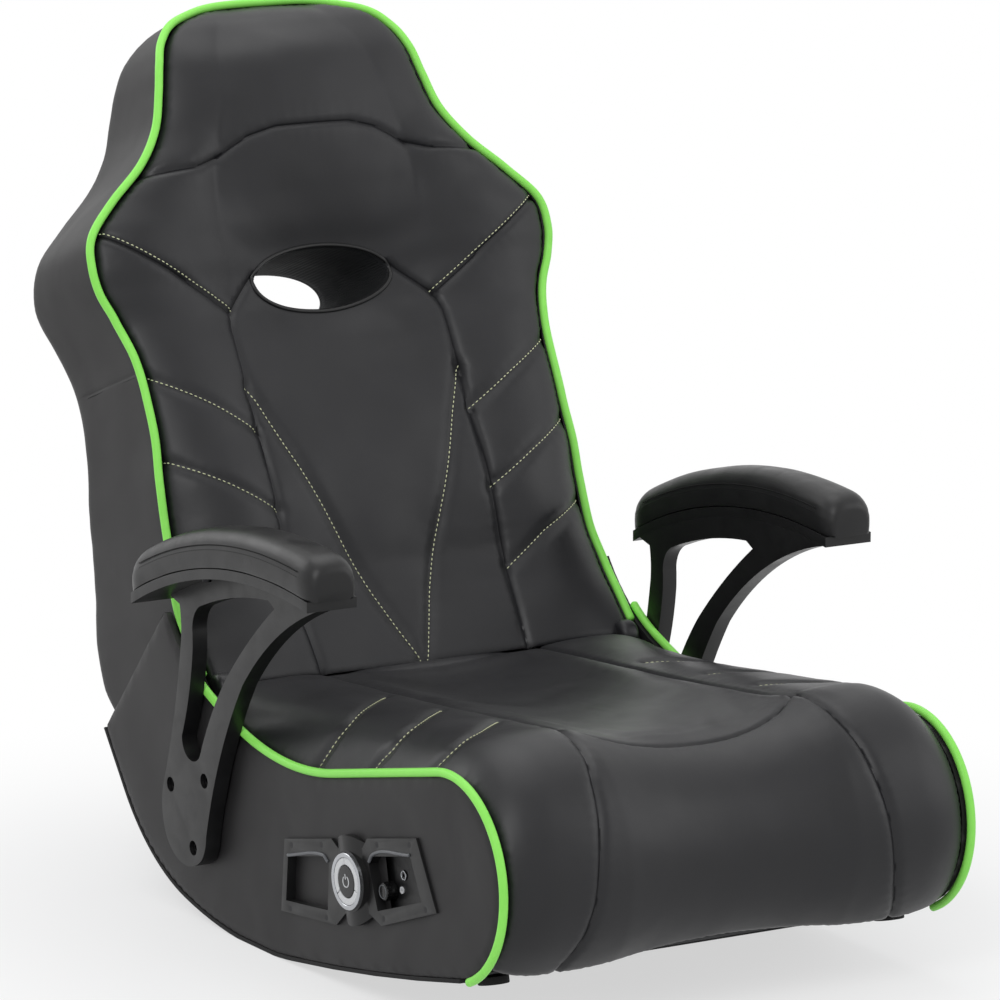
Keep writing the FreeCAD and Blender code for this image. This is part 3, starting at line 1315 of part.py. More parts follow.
def save_pair(name, left):
    save(name + "_left", left)
    save(name + "_right", mirrored(left))


def build_base():
    board = side_board()
    cover = side_cover()
    save("side_board_left", board)
    save("side_cover_left", cover)
    board_right = mirrored(board).cut(panel_opening(BOARD_INNER, COVER_INNER))
    cover_right = mirrored(cover).cut(panel_opening(COVER_INNER, BASE_HALF))
    screws = panel_screws()
    save("side_board_right", board_right.cut(screws))
    save("side_cover_right", cover_right.cut(screws))
    save("sole_board", sole_board())
    save("sole_cover", sole_cover())
    save_pair("rocker_strip", rocker_strip())
    save("front_board", front_board())
    box_space = control_box_room(FIT_GAP, BOARD_INNER - CONTROL_BOX_DEPTH - FIT_GAP, BOARD_INNER)
    save("seat_deck", seat_deck().cut(box_space))
    save("seat_frame", seat_frame())
    save("bass_box", bass_box())
    save("bass_driver", bass_driver())
    save("rear_deck", rear_deck())
    save("rest_stops", rest_stops())
    save("front_feet", front_feet())
    save("seat_centre_pad", seat_centre())
    bolster = seat_bolster()
    save("seat_bolster_left", bolster)
    save("seat_bolster_right", mirrored(bolster).cut(box_space))
    save_pair("seat_piping", seat_piping())
    save_pair("hinge_bracket", hinge_bracket())
    pin = hinge_pin()
    save("hinge_pins", Part.makeCompound([pin, mirrored(pin)]))
    save("panel_screws", screws)


def build_controls():
    save("control_panel", control_panel())
    save("control_box", control_box())
    save("amplifier_board", amplifier_board())
    save("ring_bezel", ring_bezel())
    for index, name in enumerate(("rear", "lower", "front")):
        save("ring_button_" + name, ring_button(index))
    save("power_button", power_button())
    save("volume_knob", volume_knob())
    jacks = [jack(place) for place in (HEADPHONE_JACK, LINK_JACK, AUDIO_JACK)]
    save("audio_jacks", Part.makeCompound(jacks))
    save("data_port", jack(DATA_PORT))
    save("light_ring", jack(LIGHT_RING))


def build_arms():
    save_pair("arm_frame", arm_frame())
    save_pair("arm_tray", arm_tray())
    save_pair("arm_pad", arm_pad())
    bolts = arm_bolts()
    save("arm_bolts", Part.makeCompound(bolts.Solids + mirrored(bolts).Solids))
    save("arm_tee_nuts", tee_nuts())
    save("arm_pad_screws", pad_screws())


def build_back():
    form = back_form()
    cavity = back_cavity()
    head, centre, left, right = back_upholstery(back_front(form))
    save("headrest_pad", head)
    save("back_centre_pad", centre)
    save("back_bolster_left", left)
    save("back_bolster_right", right)
    save("back_rear_shell", back_rear_shell(form, cavity))
    save("neck_collar", neck_collar(form))
    save("back_piping", back_piping())
    frame = back_frame()
    save("back_frame", frame)
    save("back_crossbars", back_crossbars(frame))
    save("lumbar_board", lumbar_board())
    save_pair("hinge_arm", hinge_arm())
    save_pair("speaker", speaker())


os.makedirs("parts", exist_ok=True)
build_base()
build_controls()
build_arms()
build_back()
print("plan centre", round(PLAN_CENTRE, 3), "hinge", HINGE_Y - PLAN_CENTRE, round(HINGE_Z, 3))
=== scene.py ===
"""Gaming rocker chair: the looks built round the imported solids.

Every size is in millimetres in the row frame and becomes metres when a mesh is made.
"""

from __future__ import annotations

import logging
import math
import sys
from dataclasses import dataclass, field
from enum import Enum
from typing import Callable, Iterable, Sequence

import bmesh
import bpy
import numpy as np
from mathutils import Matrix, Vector, kdtree, noise
from mathutils.geometry import delaunay_2d_cdt

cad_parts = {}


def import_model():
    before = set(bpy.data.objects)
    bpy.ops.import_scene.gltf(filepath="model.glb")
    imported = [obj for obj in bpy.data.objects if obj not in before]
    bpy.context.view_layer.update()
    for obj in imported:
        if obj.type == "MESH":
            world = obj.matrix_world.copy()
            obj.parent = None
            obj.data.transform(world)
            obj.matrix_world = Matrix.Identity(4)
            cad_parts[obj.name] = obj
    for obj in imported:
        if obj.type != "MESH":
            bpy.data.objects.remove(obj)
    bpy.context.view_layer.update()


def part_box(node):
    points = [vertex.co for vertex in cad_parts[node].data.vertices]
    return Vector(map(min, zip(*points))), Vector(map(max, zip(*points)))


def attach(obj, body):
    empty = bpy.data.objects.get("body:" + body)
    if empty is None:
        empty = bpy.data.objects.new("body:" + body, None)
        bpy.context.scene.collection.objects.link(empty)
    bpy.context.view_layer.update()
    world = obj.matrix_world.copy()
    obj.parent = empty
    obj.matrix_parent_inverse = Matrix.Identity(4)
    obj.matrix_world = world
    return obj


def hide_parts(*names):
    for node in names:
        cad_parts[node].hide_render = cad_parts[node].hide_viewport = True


LOG = logging.getLogger("rocker_chair")
MM = 0.001
Point2 = tuple[float, float]
Point3 = tuple[float, float, float]
PLAN_CENTRE = 16.861


class Side(Enum):
    """Sitter's left or right, with the sign of its X."""

    LEFT = 1
    RIGHT = -1

    @property
    def label(self) -> str:
        """Ending of this side's node names."""
        return self.name.lower()


class Line(Enum):
    """Kind of line sewn into a cover: how deep and how wide its valley is, and how far it puckers."""

    SEAM = (3.6, 3.4, 0.35)
    QUILT = (3.2, 6.5, 0.3)


# Finishes

def linear(level: float) -> float:
    """One channel of a screen colour, 0 to 255, as linear light."""
    share = level / 255
    return share / 12.92 if share <= 0.04045 else ((share + 0.055) / 1.055) ** 2.4


def colour(red: float, green: float, blue: float) -> tuple[float, float, float, float]:
    """Linear colour with full alpha from a screen colour."""
    return (linear(red), linear(green), linear(blue), 1.0)


class NodeBoard:
    """Thin wrapper that places and links nodes in one tree."""

    def __init__(self, tree: bpy.types.NodeTree) -> None:
        """Keeps the tree that is filled."""
        self.tree = tree

    def add(self, kind: str, settings: dict | None = None, **inputs: object) -> bpy.types.Node:
        """Adds a node.

        Args:
            kind: the node's type name.
            settings: attributes set on the node.
            inputs: value or socket for each input, named with underscores for spaces.

        Returns:
            The new node.
        """
        node = self.tree.nodes.new(kind)
        for name, value in (settings or {}).items():
            setattr(node, name, value)
        for name, value in inputs.items():
            target = node.inputs[int(name[1:])] if name[0] == "i" and name[1:].isdigit() else \
                node.inputs[name.replace("_", " ")]
            if isinstance(value, bpy.types.NodeSocket):
                self.tree.links.new(value, target)
            else:
                target.default_value = value
        return node


def shader_group(name: str, inputs: Sequence[tuple[str, float]], outputs: Sequence[str]) -> tuple:
    """Makes an empty shader group.

    Args:
        name: the group's name.
        inputs: name and default of each value input.
        outputs: name of each value output.

    Returns:
        The board, the group's input node and its output node.
    """
    tree = bpy.data.node_groups.new(name, "ShaderNodeTree")
    for label, value in inputs:
        socket = tree.interface.new_socket(label, in_out="INPUT", socket_type="NodeSocketFloat")
        socket.default_value = value
    for label in outputs:
        tree.interface.new_socket(label, in_out="OUTPUT", socket_type="NodeSocketFloat")
    board = NodeBoard(tree)
    return board, board.add("NodeGroupInput"), board.add("NodeGroupOutput")


def grain_group() -> bpy.types.NodeTree:
    """Pebbled grain with broad soft creases.

    Returns:
        A group with the inputs Pitch, Crease Size and Crease and the outputs Height and Mottle.
    """
    board, given, out = shader_group(
        "hide_grain", (("Pitch", 900.0), ("Crease Size", 14.0), ("Crease", 0.5)), ("Height", "Mottle"))
    place = board.add("ShaderNodeTexCoord").outputs["Object"]
    cells = board.add("ShaderNodeTexVoronoi", {"feature": "DISTANCE_TO_EDGE"}, Vector=place,
                      Scale=given.outputs["Pitch"])
    cell = board.add("ShaderNodeMapRange", None, Value=cells.outputs["Distance"], From_Max=0.12)
    broad = board.add("ShaderNodeTexNoise", None, Vector=place, Scale=given.outputs["Crease Size"],
                      Detail=3.0, Distortion=0.6)
    crease = board.add("ShaderNodeMath", {"operation": "MULTIPLY"}, i0=broad.outputs["Fac"],
                       i1=given.outputs["Crease"])
    pebble = board.add("ShaderNodeMath", {"operation": "MULTIPLY"}, i0=cell.outputs["Result"], i1=0.05)
    total = board.add("ShaderNodeMath", {"operation": "ADD"}, i0=crease.outputs[0], i1=pebble.outputs[0])
    board.tree.links.new(total.outputs[0], out.inputs["Height"])
    board.tree.links.new(broad.outputs["Fac"], out.inputs["Mottle"])
    return board.tree


def dust_group() -> bpy.types.NodeTree:
    """Faint settled dust, more on faces that look up.

    Returns:
        A group with the input Amount and the output Mask.
    """
    board, given, out = shader_group("settled_dust", (("Amount", 0.1),), ("Mask",))
    normal = board.add("ShaderNodeNewGeometry").outputs["Normal"]
    up = board.add("ShaderNodeSeparateXYZ", None, Vector=normal)
    place = board.add("ShaderNodeTexCoord").outputs["Object"]
    cloud = board.add("ShaderNodeTexNoise", None, Vector=place, Scale=60.0, Detail=5.0)
    facing = board.add("ShaderNodeMapRange", None, Value=up.outputs["Z"], From_Min=-0.2, To_Min=0.2)
    spread = board.add("ShaderNodeMath", {"operation": "MULTIPLY"}, i0=cloud.outputs["Fac"],
                       i1=facing.outputs["Result"])
    mask = board.add("ShaderNodeMath", {"operation": "MULTIPLY"}, i0=spread.outputs[0],
                     i1=given.outputs["Amount"])
    board.tree.links.new(mask.outputs[0], out.inputs["Mask"])
    return board.tree


@dataclass(frozen=True)
class Finish:
    """One surface finish: its colours, gloss and relief."""

    name: str
    base: tuple[float, float, float]
    shade: tuple[float, float, float]
    rough: float = 0.5
    rough_spread: float = 0.08
    metal: float = 0.0
    specular: float = 0.5
    coat: float = 0.0
    pitch: float = 900.0
    crease_size: float = 14.0
    crease: float = 0.0
    bump: float = 0.3
    relief: float = 0.0006
    dust: float = 0.04
    dust_colour: tuple[float, float, float] = (120, 118, 114)

    def make(self, groups: dict[str, bpy.types.NodeTree]) -> bpy.types.Material:
        """Builds the material.

        Args:
            groups: the shared effects, by name.

        Returns:
            The material.
        """
        material = bpy.data.materials.new(self.name)
        material.use_nodes = True
        tree = material.node_tree
        board = NodeBoard(tree)
        shader = tree.nodes["Principled BSDF"]
        grain = board.add("ShaderNodeGroup", {"node_tree": groups["grain"]}, Pitch=self.pitch,
                          Crease_Size=self.crease_size, Crease=self.crease)
        dust = board.add("ShaderNodeGroup", {"node_tree": groups["dust"]}, Amount=self.dust)
        mottle = board.add("ShaderNodeMix", {"data_type": "RGBA"}, i0=grain.outputs["Mottle"])
        mottle.inputs[6].default_value = colour(*self.base)
        mottle.inputs[7].default_value = colour(*self.shade)
        dusty = board.add("ShaderNodeMix", {"data_type": "RGBA"}, i0=dust.outputs["Mask"],
                          i6=mottle.outputs[2])
        dusty.inputs[7].default_value = colour(*self.dust_colour)
        tree.links.new(dusty.outputs[2], shader.inputs["Base Color"])
        rough = board.add("ShaderNodeMapRange", None, Value=grain.outputs["Mottle"], From_Min=0.3,
                          From_Max=0.7, To_Min=self.rough - self.rough_spread,
                          To_Max=self.rough + self.rough_spread)
        tree.links.new(rough.outputs["Result"], shader.inputs["Roughness"])
        bump = board.add("ShaderNodeBump", None, Strength=self.bump, Distance=self.relief,
                         Height=grain.outputs["Height"])
        tree.links.new(bump.outputs["Normal"], shader.inputs["Normal"])
        shader.inputs["Metallic"].default_value = self.metal
        shader.inputs["Specular IOR Level"].default_value = self.specular
        shader.inputs["Coat Weight"].default_value = self.coat
        return material


FINISHES = (
    Finish("soft_hide", (26, 26, 28), (31, 31, 34), 0.4, 0.05, specular=0.34, pitch=900, crease_size=16,
           crease=0.9, bump=0.45, relief=0.0011, dust=0.02),
    Finish("cover_hide", (28, 27, 28), (33, 32, 33), 0.5, 0.05, specular=0.3, pitch=850, crease_size=9,
           crease=1.2, bump=0.5, relief=0.0014, dust=0.02),
    Finish("pad_hide", (19, 19, 20), (24, 24, 25), 0.38, 0.06, specular=0.34, pitch=700, crease_size=40,
           crease=0.5, bump=0.55, relief=0.0009, dust=0.02),
    Finish("piping_green", (146, 244, 96), (162, 252, 112), 0.42, 0.05, specular=0.3, pitch=1200,
           crease_size=90, crease=0.3, bump=0.3, relief=0.0004, dust=0.01),
    Finish("thread_pale", (232, 234, 196), (216, 220, 176), 0.7, 0.05, specular=0.3, pitch=3000,
           crease_size=900, crease=0.8, bump=0.5, relief=0.0002, dust=0.02),
    Finish("thread_dark", (14, 14, 15), (20, 20, 21), 0.75, 0.05, specular=0.2, pitch=3000,
           crease_size=900, crease=0.8, bump=0.5, relief=0.0002),
    Finish("lining_mesh", (24, 25, 27), (32, 33, 35), 0.8, 0.06, specular=0.25, pitch=420, crease_size=30,
           crease=0.3, bump=0.9, relief=0.0012),
    Finish("moulded_black", (16, 16, 17), (21, 21, 22), 0.36, 0.06, specular=0.36, pitch=2400,
           crease_size=50, crease=0.25, bump=0.3, relief=0.0003, dust=0.03),
    Finish("smooth_black", (12, 12, 13), (17, 17, 18), 0.24, 0.05, specular=0.4, pitch=2400,
           crease_size=30, crease=0.1, bump=0.12, relief=0.0002, dust=0.03),
    Finish("grey_cap", (84, 86, 90), (98, 100, 104), 0.35, 0.05, pitch=2000, crease_size=50, crease=0.1,
           bump=0.15, relief=0.0002),
    Finish("white_key", (214, 215, 216), (226, 227, 228), 0.35, 0.05, pitch=2200, crease_size=60,
           crease=0.1, bump=0.1, relief=0.0002, dust=0.05),
    Finish("bright_metal", (168, 170, 174), (190, 192, 196), 0.24, 0.06, metal=1.0, pitch=2600,
           crease_size=90, crease=0.2, bump=0.1, relief=0.0002),
    Finish("dark_steel", (30, 30, 32), (44, 44, 46), 0.36, 0.1, metal=0.9, pitch=1800, crease_size=60,
           crease=0.3, bump=0.25, relief=0.0003),
    Finish("rubber_black", (16, 16, 17), (23, 23, 24), 0.72, 0.06, specular=0.3, pitch=900,
           crease_size=60, crease=0.5, bump=0.5, relief=0.0006, dust=0.08),
    Finish("ply_board", (176, 138, 92), (140, 104, 66), 0.6, 0.1, pitch=300, crease_size=6, crease=1.2,
           bump=0.4, relief=0.0006),
    Finish("circuit_green", (18, 74, 44), (26, 92, 56), 0.4, 0.08, pitch=900, crease_size=120, crease=0.4,
           bump=0.3, relief=0.0004),
    Finish("driver_grey", (48, 48, 50), (62, 62, 64), 0.5, 0.08, pitch=900, crease_size=60, crease=0.5,
           bump=0.4, relief=0.0005),
)


@dataclass
class Workshop:
    """Materials and the steps that every piece goes through."""

    materials: dict[str, bpy.types.Material] = field(default_factory=dict)
    pieces: int = 0

    def stock(self) -> None:
        """Builds every finish once."""
        groups = {"grain": grain_group(), "dust": dust_group()}
        for finish in FINISHES:
            self.materials[finish.name] = finish.make(groups)

    def piece(self, name: str, verts: Sequence, faces: Sequence, finish: str, smooth: bool = True
              ) -> bpy.types.Object:
        """Makes a mesh object from points in millimetres.

        Args:
            name: the piece's name.
            verts: its points.
            faces: its faces, as rows of point numbers.
            finish: the name of its finish.
            smooth: whether its faces are smooth.

        Returns:
            The object, at the origin.
        """
        mesh = bpy.data.meshes.new(name)
        mesh.from_pydata((np.asarray(verts, float) * MM).tolist(), [], [tuple(map(int, f)) for f in faces])
        mesh.materials.append(self.materials[finish])
        mesh.polygons.foreach_set("use_smooth", [smooth] * len(mesh.polygons))
        mesh.update()
        mesh.validate()
        piece = bpy.data.objects.new(name, mesh)
        bpy.context.scene.collection.objects.link(piece)
        return piece

    def sharpen(self, piece: bpy.types.Object, angle: float = 40.0) -> None:
        """Marks edges sharper than an angle in degrees so that they shade crisply."""
        piece.data.set_sharp_from_angle(angle=math.radians(angle))

    def deliver(self, piece: bpy.types.Object, body: str, slot: str, nodes: Iterable[str] = (),
                fill: float | None = None) -> bpy.types.Object:
        """Parents a finished piece to its body's empty and hides the solids it stands for.

        Args:
            piece: the finished object.
            body: the body it rides on.
            slot: the name of its material slot; not used.
            nodes: the solids it stands for.
            fill: how full a padded piece is, or None; not used.

        Returns:
            The same object.
        """
        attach(piece, body)
        names = tuple(nodes)
        if names:
            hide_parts(*names)
        self.pieces += 1
        LOG.info("%s: %d faces on %s", piece.name, len(piece.data.polygons), body)
        return piece

    def rounded(self, name: str, node: str, finish: str, width: float, steps: int = 3,
                angle: float = 30.0) -> bpy.types.Object:
        """Copies a rigid solid and rounds its edges.

        Args:
            name: the new piece's name.
            node: the solid that is copied.
            finish: the name of its finish.
            width: the bevel's width in millimetres.
            steps: the bevel's segments.
            angle: edges sharper than this, in degrees, are rounded.

        Returns:
            The new object.
        """
        mesh = bpy.data.meshes.new(name)
        work = bmesh.new()
        work.from_mesh(bpy.data.objects[node].data)
        bmesh.ops.remove_doubles(work, verts=work.verts, dist=2e-5)
        bmesh.ops.dissolve_limit(work, angle_limit=math.radians(0.8), verts=work.verts, edges=work.edges)
        bmesh.ops.recalc_face_normals(work, faces=work.faces)
        sharp = [e for e in work.edges if len(e.link_faces) == 2
                 and e.calc_face_angle(0) > math.radians(angle)]
        bmesh.ops.bevel(work, geom=sharp, offset=width * MM, segments=steps, profile=0.6, affect="EDGES",
                        clamp_overlap=True)
        bmesh.ops.triangulate(work, faces=[f for f in work.faces if len(f.verts) > 4])
        work.to_mesh(mesh)
        work.free()
        mesh.materials.append(self.materials[finish])
        mesh.polygons.foreach_set("use_smooth", [True] * len(mesh.polygons))
        piece = bpy.data.objects.new(name, mesh)
        bpy.context.scene.collection.objects.link(piece)
        self.sharpen(piece, 25)
        return piece

    def dress(self, node: str, finish: str) -> None:
        """Gives a carried-over solid its finish."""
        mesh = bpy.data.objects[node].data
        mesh.materials.clear()
        mesh.materials.append(self.materials[finish])


# Shape helpers

class Smooth:
    """Monotone cubic curves through a table's rows."""

    def __init__(self, rows: Sequence[Sequence[float]]) -> None:
        """Keeps the rows; the first column is the place."""
        table = np.asarray(rows, float)
        self.place = table[:, 0]
        self.value = table[:, 1:]
        step = np.diff(self.place)[:, None]
        slope = np.diff(self.value, axis=0) / step
        tangent = np.vstack([slope[:1], (slope[1:] + slope[:-1]) / 2, slope[-1:]])
        flat = np.vstack([slope[:1] < -1e9, slope[1:] * slope[:-1] <= 0, slope[-1:] < -1e9])
        tangent[flat] = 0
        bound = 3 * np.minimum(np.abs(np.vstack([slope[:1], slope])), np.abs(np.vstack([slope, slope[-1:]])))
        self.tangent = np.clip(tangent, -bound, bound)

    def at(self, where: np.ndarray) -> np.ndarray:
        """Values at these places, one row each."""
        where = np.clip(np.asarray(where, float), self.place[0], self.place[-1])
        i = np.clip(np.searchsorted(self.place, where) - 1, 0, len(self.place) - 2)
        width = (self.place[i + 1] - self.place[i])[:, None]
        t = ((where - self.place[i])[:, None]) / width
        a, b = self.value[i], self.value[i + 1]
        p, q = self.tangent[i] * width, self.tangent[i + 1] * width
        return ((2 * t ** 3 - 3 * t ** 2 + 1) * a + (t ** 3 - 2 * t ** 2 + t) * p
                + (3 * t ** 2 - 2 * t ** 3) * b + (t ** 3 - t ** 2) * q)


def resample(points: Sequence, step: float) -> np.ndarray:
    """Points at an even step along a run of straight lines, both ends kept."""
    run = np.asarray(points, float)
    length = np.r_[0, np.cumsum(np.linalg.norm(np.diff(run, axis=0), axis=1))]
    count = max(int(round(length[-1] / step)), 1)
    place = np.linspace(0, length[-1], count + 1)
    return np.stack([np.interp(place, length, run[:, k]) for k in range(run.shape[1])], axis=1)


def rounded_run(points: Sequence, step: float = 4.0) -> np.ndarray:
    """Smooth curve through points, as an even run."""
    run = np.asarray(points, float)
    length = np.r_[0, np.cumsum(np.linalg.norm(np.diff(run, axis=0), axis=1))]
    curve = Smooth(np.column_stack([length, run]))
    return resample(curve.at(np.linspace(0, length[-1], max(int(length[-1] / 1.5), 4))), step)


def inside(points: np.ndarray, ring: np.ndarray) -> np.ndarray:
    """Which points lie inside a closed ring."""
    result = np.zeros(len(points), bool)
    x, y = points[:, 0], points[:, 1]
    for (x0, y0), (x1, y1) in zip(ring, np.roll(ring, -1, axis=0)):
        if y0 == y1:
            continue
        crosses = (y0 > y) != (y1 > y)
        result ^= crosses & (x < (x1 - x0) * (y - y0) / (y1 - y0) + x0)
    return result


def tree_of(points: np.ndarray) -> kdtree.KDTree:
    """Search tree over points of two or three coordinates."""
    tree = kdtree.KDTree(len(points))
    for index, point in enumerate(points):
        tree.insert((point[0], point[1], point[2] if len(point) > 2 else 0.0), index)
    tree.balance()
    return tree


def tube(points: Sequence, radius: float | np.ndarray, sides: int = 14) -> tuple[np.ndarray, list]:
    """Round tube along points, with rounded ends.

    Args:
        points: the middle line.
        radius: the tube's radius, one or one for each point.
        sides: how many sides it has.

    Returns:
        Its points and faces.
    """
    run = np.asarray(points, float)
    radii = np.broadcast_to(np.asarray(radius, float), (len(run),)).copy()
    way = np.gradient(run, axis=0)
    way /= np.linalg.norm(way, axis=1)[:, None]
    first, last = run[0] - way[0] * radii[0] * 0.45, run[-1] + way[-1] * radii[-1] * 0.45
    run = np.vstack([first, run, last])
    way = np.vstack([way[0], way, way[-1]])
    radii = np.r_[radii[0] * 0.6, radii, radii[-1] * 0.6]
    side = np.cross(way[0], (0.0, 0.0, 1.0) if abs(way[0][2]) < 0.9 else (1.0, 0.0, 0.0))
    verts = []
    turn = np.linspace(0, 2 * math.pi, sides, endpoint=False)
    for point, ahead, size in zip(run, way, radii):
        side = side - ahead * np.dot(side, ahead)
        side /= np.linalg.norm(side)
        up = np.cross(ahead, side)
        verts.append(point + size * (np.cos(turn)[:, None] * side + np.sin(turn)[:, None] * up))
    faces = [[i * sides + k, i * sides + (k + 1) % sides,
              (i + 1) * sides + (k + 1) % sides, (i + 1) * sides + k]
             for i in range(len(run) - 1) for k in range(sides)]
    faces.append(list(range(sides))[::-1])
    faces.append([(len(run) - 1) * sides + k for k in range(sides)])
    return np.vstack(verts), faces


def grid_faces(rows: int, columns: int, closed: bool) -> list:
    """Faces of a grid of points, row after row."""
    wrap = columns if closed else columns - 1
    return [[i * columns + k, i * columns + (k + 1) % columns, (i + 1) * columns + (k + 1) % columns,
             (i + 1) * columns + k] for i in range(rows - 1) for k in range(wrap)]


@dataclass
class Sewn:
    """One line sewn into a cover, in the cover's own plane."""

    points: Sequence[Point2]
    kind: Line
    thread: str | None = None
    aside: float = 0.0


@dataclass
class Cover:
    """A stuffed sheet over a surface, cut at its seams and pressed in along its sewn lines.

    Attributes:
        place: gives the points in space for points of the cover's plane.
        outline: the sheet's edge, counterclockwise seen from outside.
        lines: what is sewn into it.
        holes: openings in it.
        spacing: distance between its points.
        swell: how far the stuffing may push it out.
        wave: height of its soft unevenness.
    """

    place: Callable[[np.ndarray], np.ndarray]
    outline: Sequence[Point2]
    lines: list[Sewn] = field(default_factory=list)
    holes: list[Sequence[Point2]] = field(default_factory=list)
    spacing: float = 4.2
    swell: float = 6.0
    wave: float = 0.5
    edge_drop: float = 0.0
    edge_reach: float = 6.0
    flat: np.ndarray = field(default_factory=lambda: np.zeros((0, 2)))
    solid: np.ndarray = field(default_factory=lambda: np.zeros((0, 3)))
    triangles: np.ndarray = field(default_factory=lambda: np.zeros((0, 3), int))

    def normals(self, points: np.ndarray) -> np.ndarray:
        """Unit normals of the bare surface at these points of the plane."""
        step = 0.5
        across = self.place(points + (step, 0)) - self.place(points - (step, 0))
        along = self.place(points + (0, step)) - self.place(points - (0, step))
        normal = np.cross(across, along)
        return normal / np.maximum(np.linalg.norm(normal, axis=1), 1e-9)[:, None]

    def mesh(self, spacing: float) -> tuple[np.ndarray, np.ndarray]:
        """Triangles of the plane that keep every edge, hole and sewn line.

        Args:
            spacing: distance between points.

        Returns:
            The points and the triangles.
        """
        rings = [resample(list(ring) + [ring[0]], spacing)[:-1] for ring in (self.outline, *self.holes)]
        runs = [resample(line.points, spacing) for line in self.lines]
        points = [tuple(p) for ring in rings for p in ring]
        edges = []
        start = 0
        for ring in rings:
            edges += [(start + k, start + (k + 1) % len(ring)) for k in range(len(ring))]
            start += len(ring)
        for run in runs:
            points += [tuple(p) for p in run]
            edges += [(start + k, start + k + 1) for k in range(len(run) - 1)]
            start += len(run)
        low, high = rings[0].min(0), rings[0].max(0)
        across = np.arange(low[0] + spacing / 2, high[0], spacing)
        along = np.arange(low[1] + spacing / 2, high[1], spacing * 0.87)
        grid = np.array([(x + (row % 2) * spacing / 2, y) for row, y in enumerate(along) for x in across])
        grid = grid[inside(grid, rings[0])]
        for ring in rings[1:]:
            grid = grid[~inside(grid, ring)]
        if spacing < 6:
            points += self.beside(runs, rings, np.array(points))
        near = tree_of(np.array(points))
        clear = [near.find((p[0], p[1], 0))[2] > spacing * 0.62 for p in grid]
        points += [tuple(p) for p in grid[np.array(clear)]]
        result = delaunay_2d_cdt([Vector(p) for p in points], edges, [], 0, 1e-3)
        flat = np.array([tuple(p) for p in result[0]])
        triangles = np.array([tuple(f) for f in result[2]])
        middle = flat[triangles].mean(1)
        keep = inside(middle, rings[0])
        for ring in rings[1:]:
            keep &= ~inside(middle, ring)
        return flat, triangles[keep]

    @staticmethod
    def beside(runs: list[np.ndarray], rings: list[np.ndarray], fixed: np.ndarray) -> list[Point2]:
        """Rows of points close along both sides of the sewn lines, so that their valleys are even.

        Args:
            runs: the sewn lines.
            rings: the sheet's edge and its holes.
            fixed: points that are already there.

        Returns:
            The added points.
        """
        rows = []
        for run in runs:
            way = np.gradient(run, axis=0)
            way /= np.maximum(np.linalg.norm(way, axis=1), 1e-9)[:, None]
            aside = np.column_stack([-way[:, 1], way[:, 0]])
            rows += [run + aside * offset for offset in (-4.2, -2.1, 2.1, 4.2)]
        if not rows:
            return []
        extra = np.vstack(rows)
        extra = extra[inside(extra, rings[0])]
        for ring in rings[1:]:
            extra = extra[~inside(extra, ring)]
        near, own = tree_of(fixed), tree_of(extra)
        return [tuple(p) for k, p in enumerate(extra) if near.find((p[0], p[1], 0))[2] > 1.7
                and min(hit[1] for hit in own.find_range((p[0], p[1], 0), 1.3)) == k]

    def held(self, kinds: Sequence[Line]) -> np.ndarray:
        """Close points along the edges and the lines of these kinds."""
        runs = [resample(list(ring) + [ring[0]], 1.0) for ring in (self.outline, *self.holes)]
        runs += [resample(line.points, 1.0) for line in self.lines if line.kind in kinds]
        return np.vstack(runs)

    def stuffing(self, flat: np.ndarray) -> np.ndarray:
        """How far the stuffing moves the sheet at these points.

        Args:
            flat: points of the plane.

        Returns:
            A move in millimetres for each.
        """
        pins = tree_of(self.held((Line.SEAM, Line.QUILT)))
        if self.swell <= 0:
            reach = np.array([pins.find((p[0], p[1], 0))[2] for p in flat])
            return self.normals(flat) * (self.swell * 0.7 * (1 - np.exp(-reach / 22)))[:, None]
        coarse, triangles = self.mesh(self.spacing * 2.4)
        rest, normal = self.place(coarse), self.normals(coarse)
        mesh = bpy.data.meshes.new("sheet")
        mesh.from_pydata((rest * MM).tolist(), [], triangles.tolist())
        sheet = bpy.data.objects.new("sheet", mesh)
        bpy.context.scene.collection.objects.link(sheet)
        group = sheet.vertex_groups.new(name="held")
        group.add([i for i, p in enumerate(coarse) if pins.find((p[0], p[1], 0))[2] < 1.6], 1.0, "REPLACE")
        cloth = sheet.modifiers.new("cloth", "CLOTH")
        cloth.settings.quality = 4
        cloth.settings.tension_stiffness = 12
        cloth.settings.compression_stiffness = 12
        cloth.settings.shear_stiffness = 8
        cloth.settings.bending_stiffness = 1.5
        cloth.settings.mass = 0.3
        cloth.settings.use_pressure = True
        cloth.settings.uniform_pressure_force = 4.0
        cloth.settings.effector_weights.gravity = 0.0
        cloth.settings.vertex_group_mass = "held"
        cloth.collision_settings.use_collision = False
        cloth.point_cache.frame_start = 1
        cloth.point_cache.frame_end = 20
        for frame in range(1, 21):
            bpy.context.scene.frame_set(frame)
        shaped = sheet.evaluated_get(bpy.context.evaluated_depsgraph_get()).data
        moved = np.array([tuple(v.co) for v in shaped.vertices]) / MM - rest
        bpy.data.objects.remove(sheet)
        out = np.einsum("ij,ij->i", moved, normal)
        aside = moved - normal * out[:, None]
        size = np.linalg.norm(aside, axis=1)[:, None]
        aside *= np.minimum(1, 1.5 / np.maximum(size, 1e-6))
        moved = normal * np.clip(out, -0.5, self.swell)[:, None] + aside
        near = tree_of(coarse)
        sigma = self.spacing * 1.7
        result = np.zeros((len(flat), 3))
        for index, point in enumerate(flat):
            spot = (point[0], point[1], 0)
            found = near.find_range(spot, sigma * 2.6) or [near.find(spot)]
            weight = np.exp(-np.array([hit[2] for hit in found]) ** 2 / (2 * sigma ** 2))
            result[index] = weight @ moved[[hit[1] for hit in found]] / weight.sum()
        return result

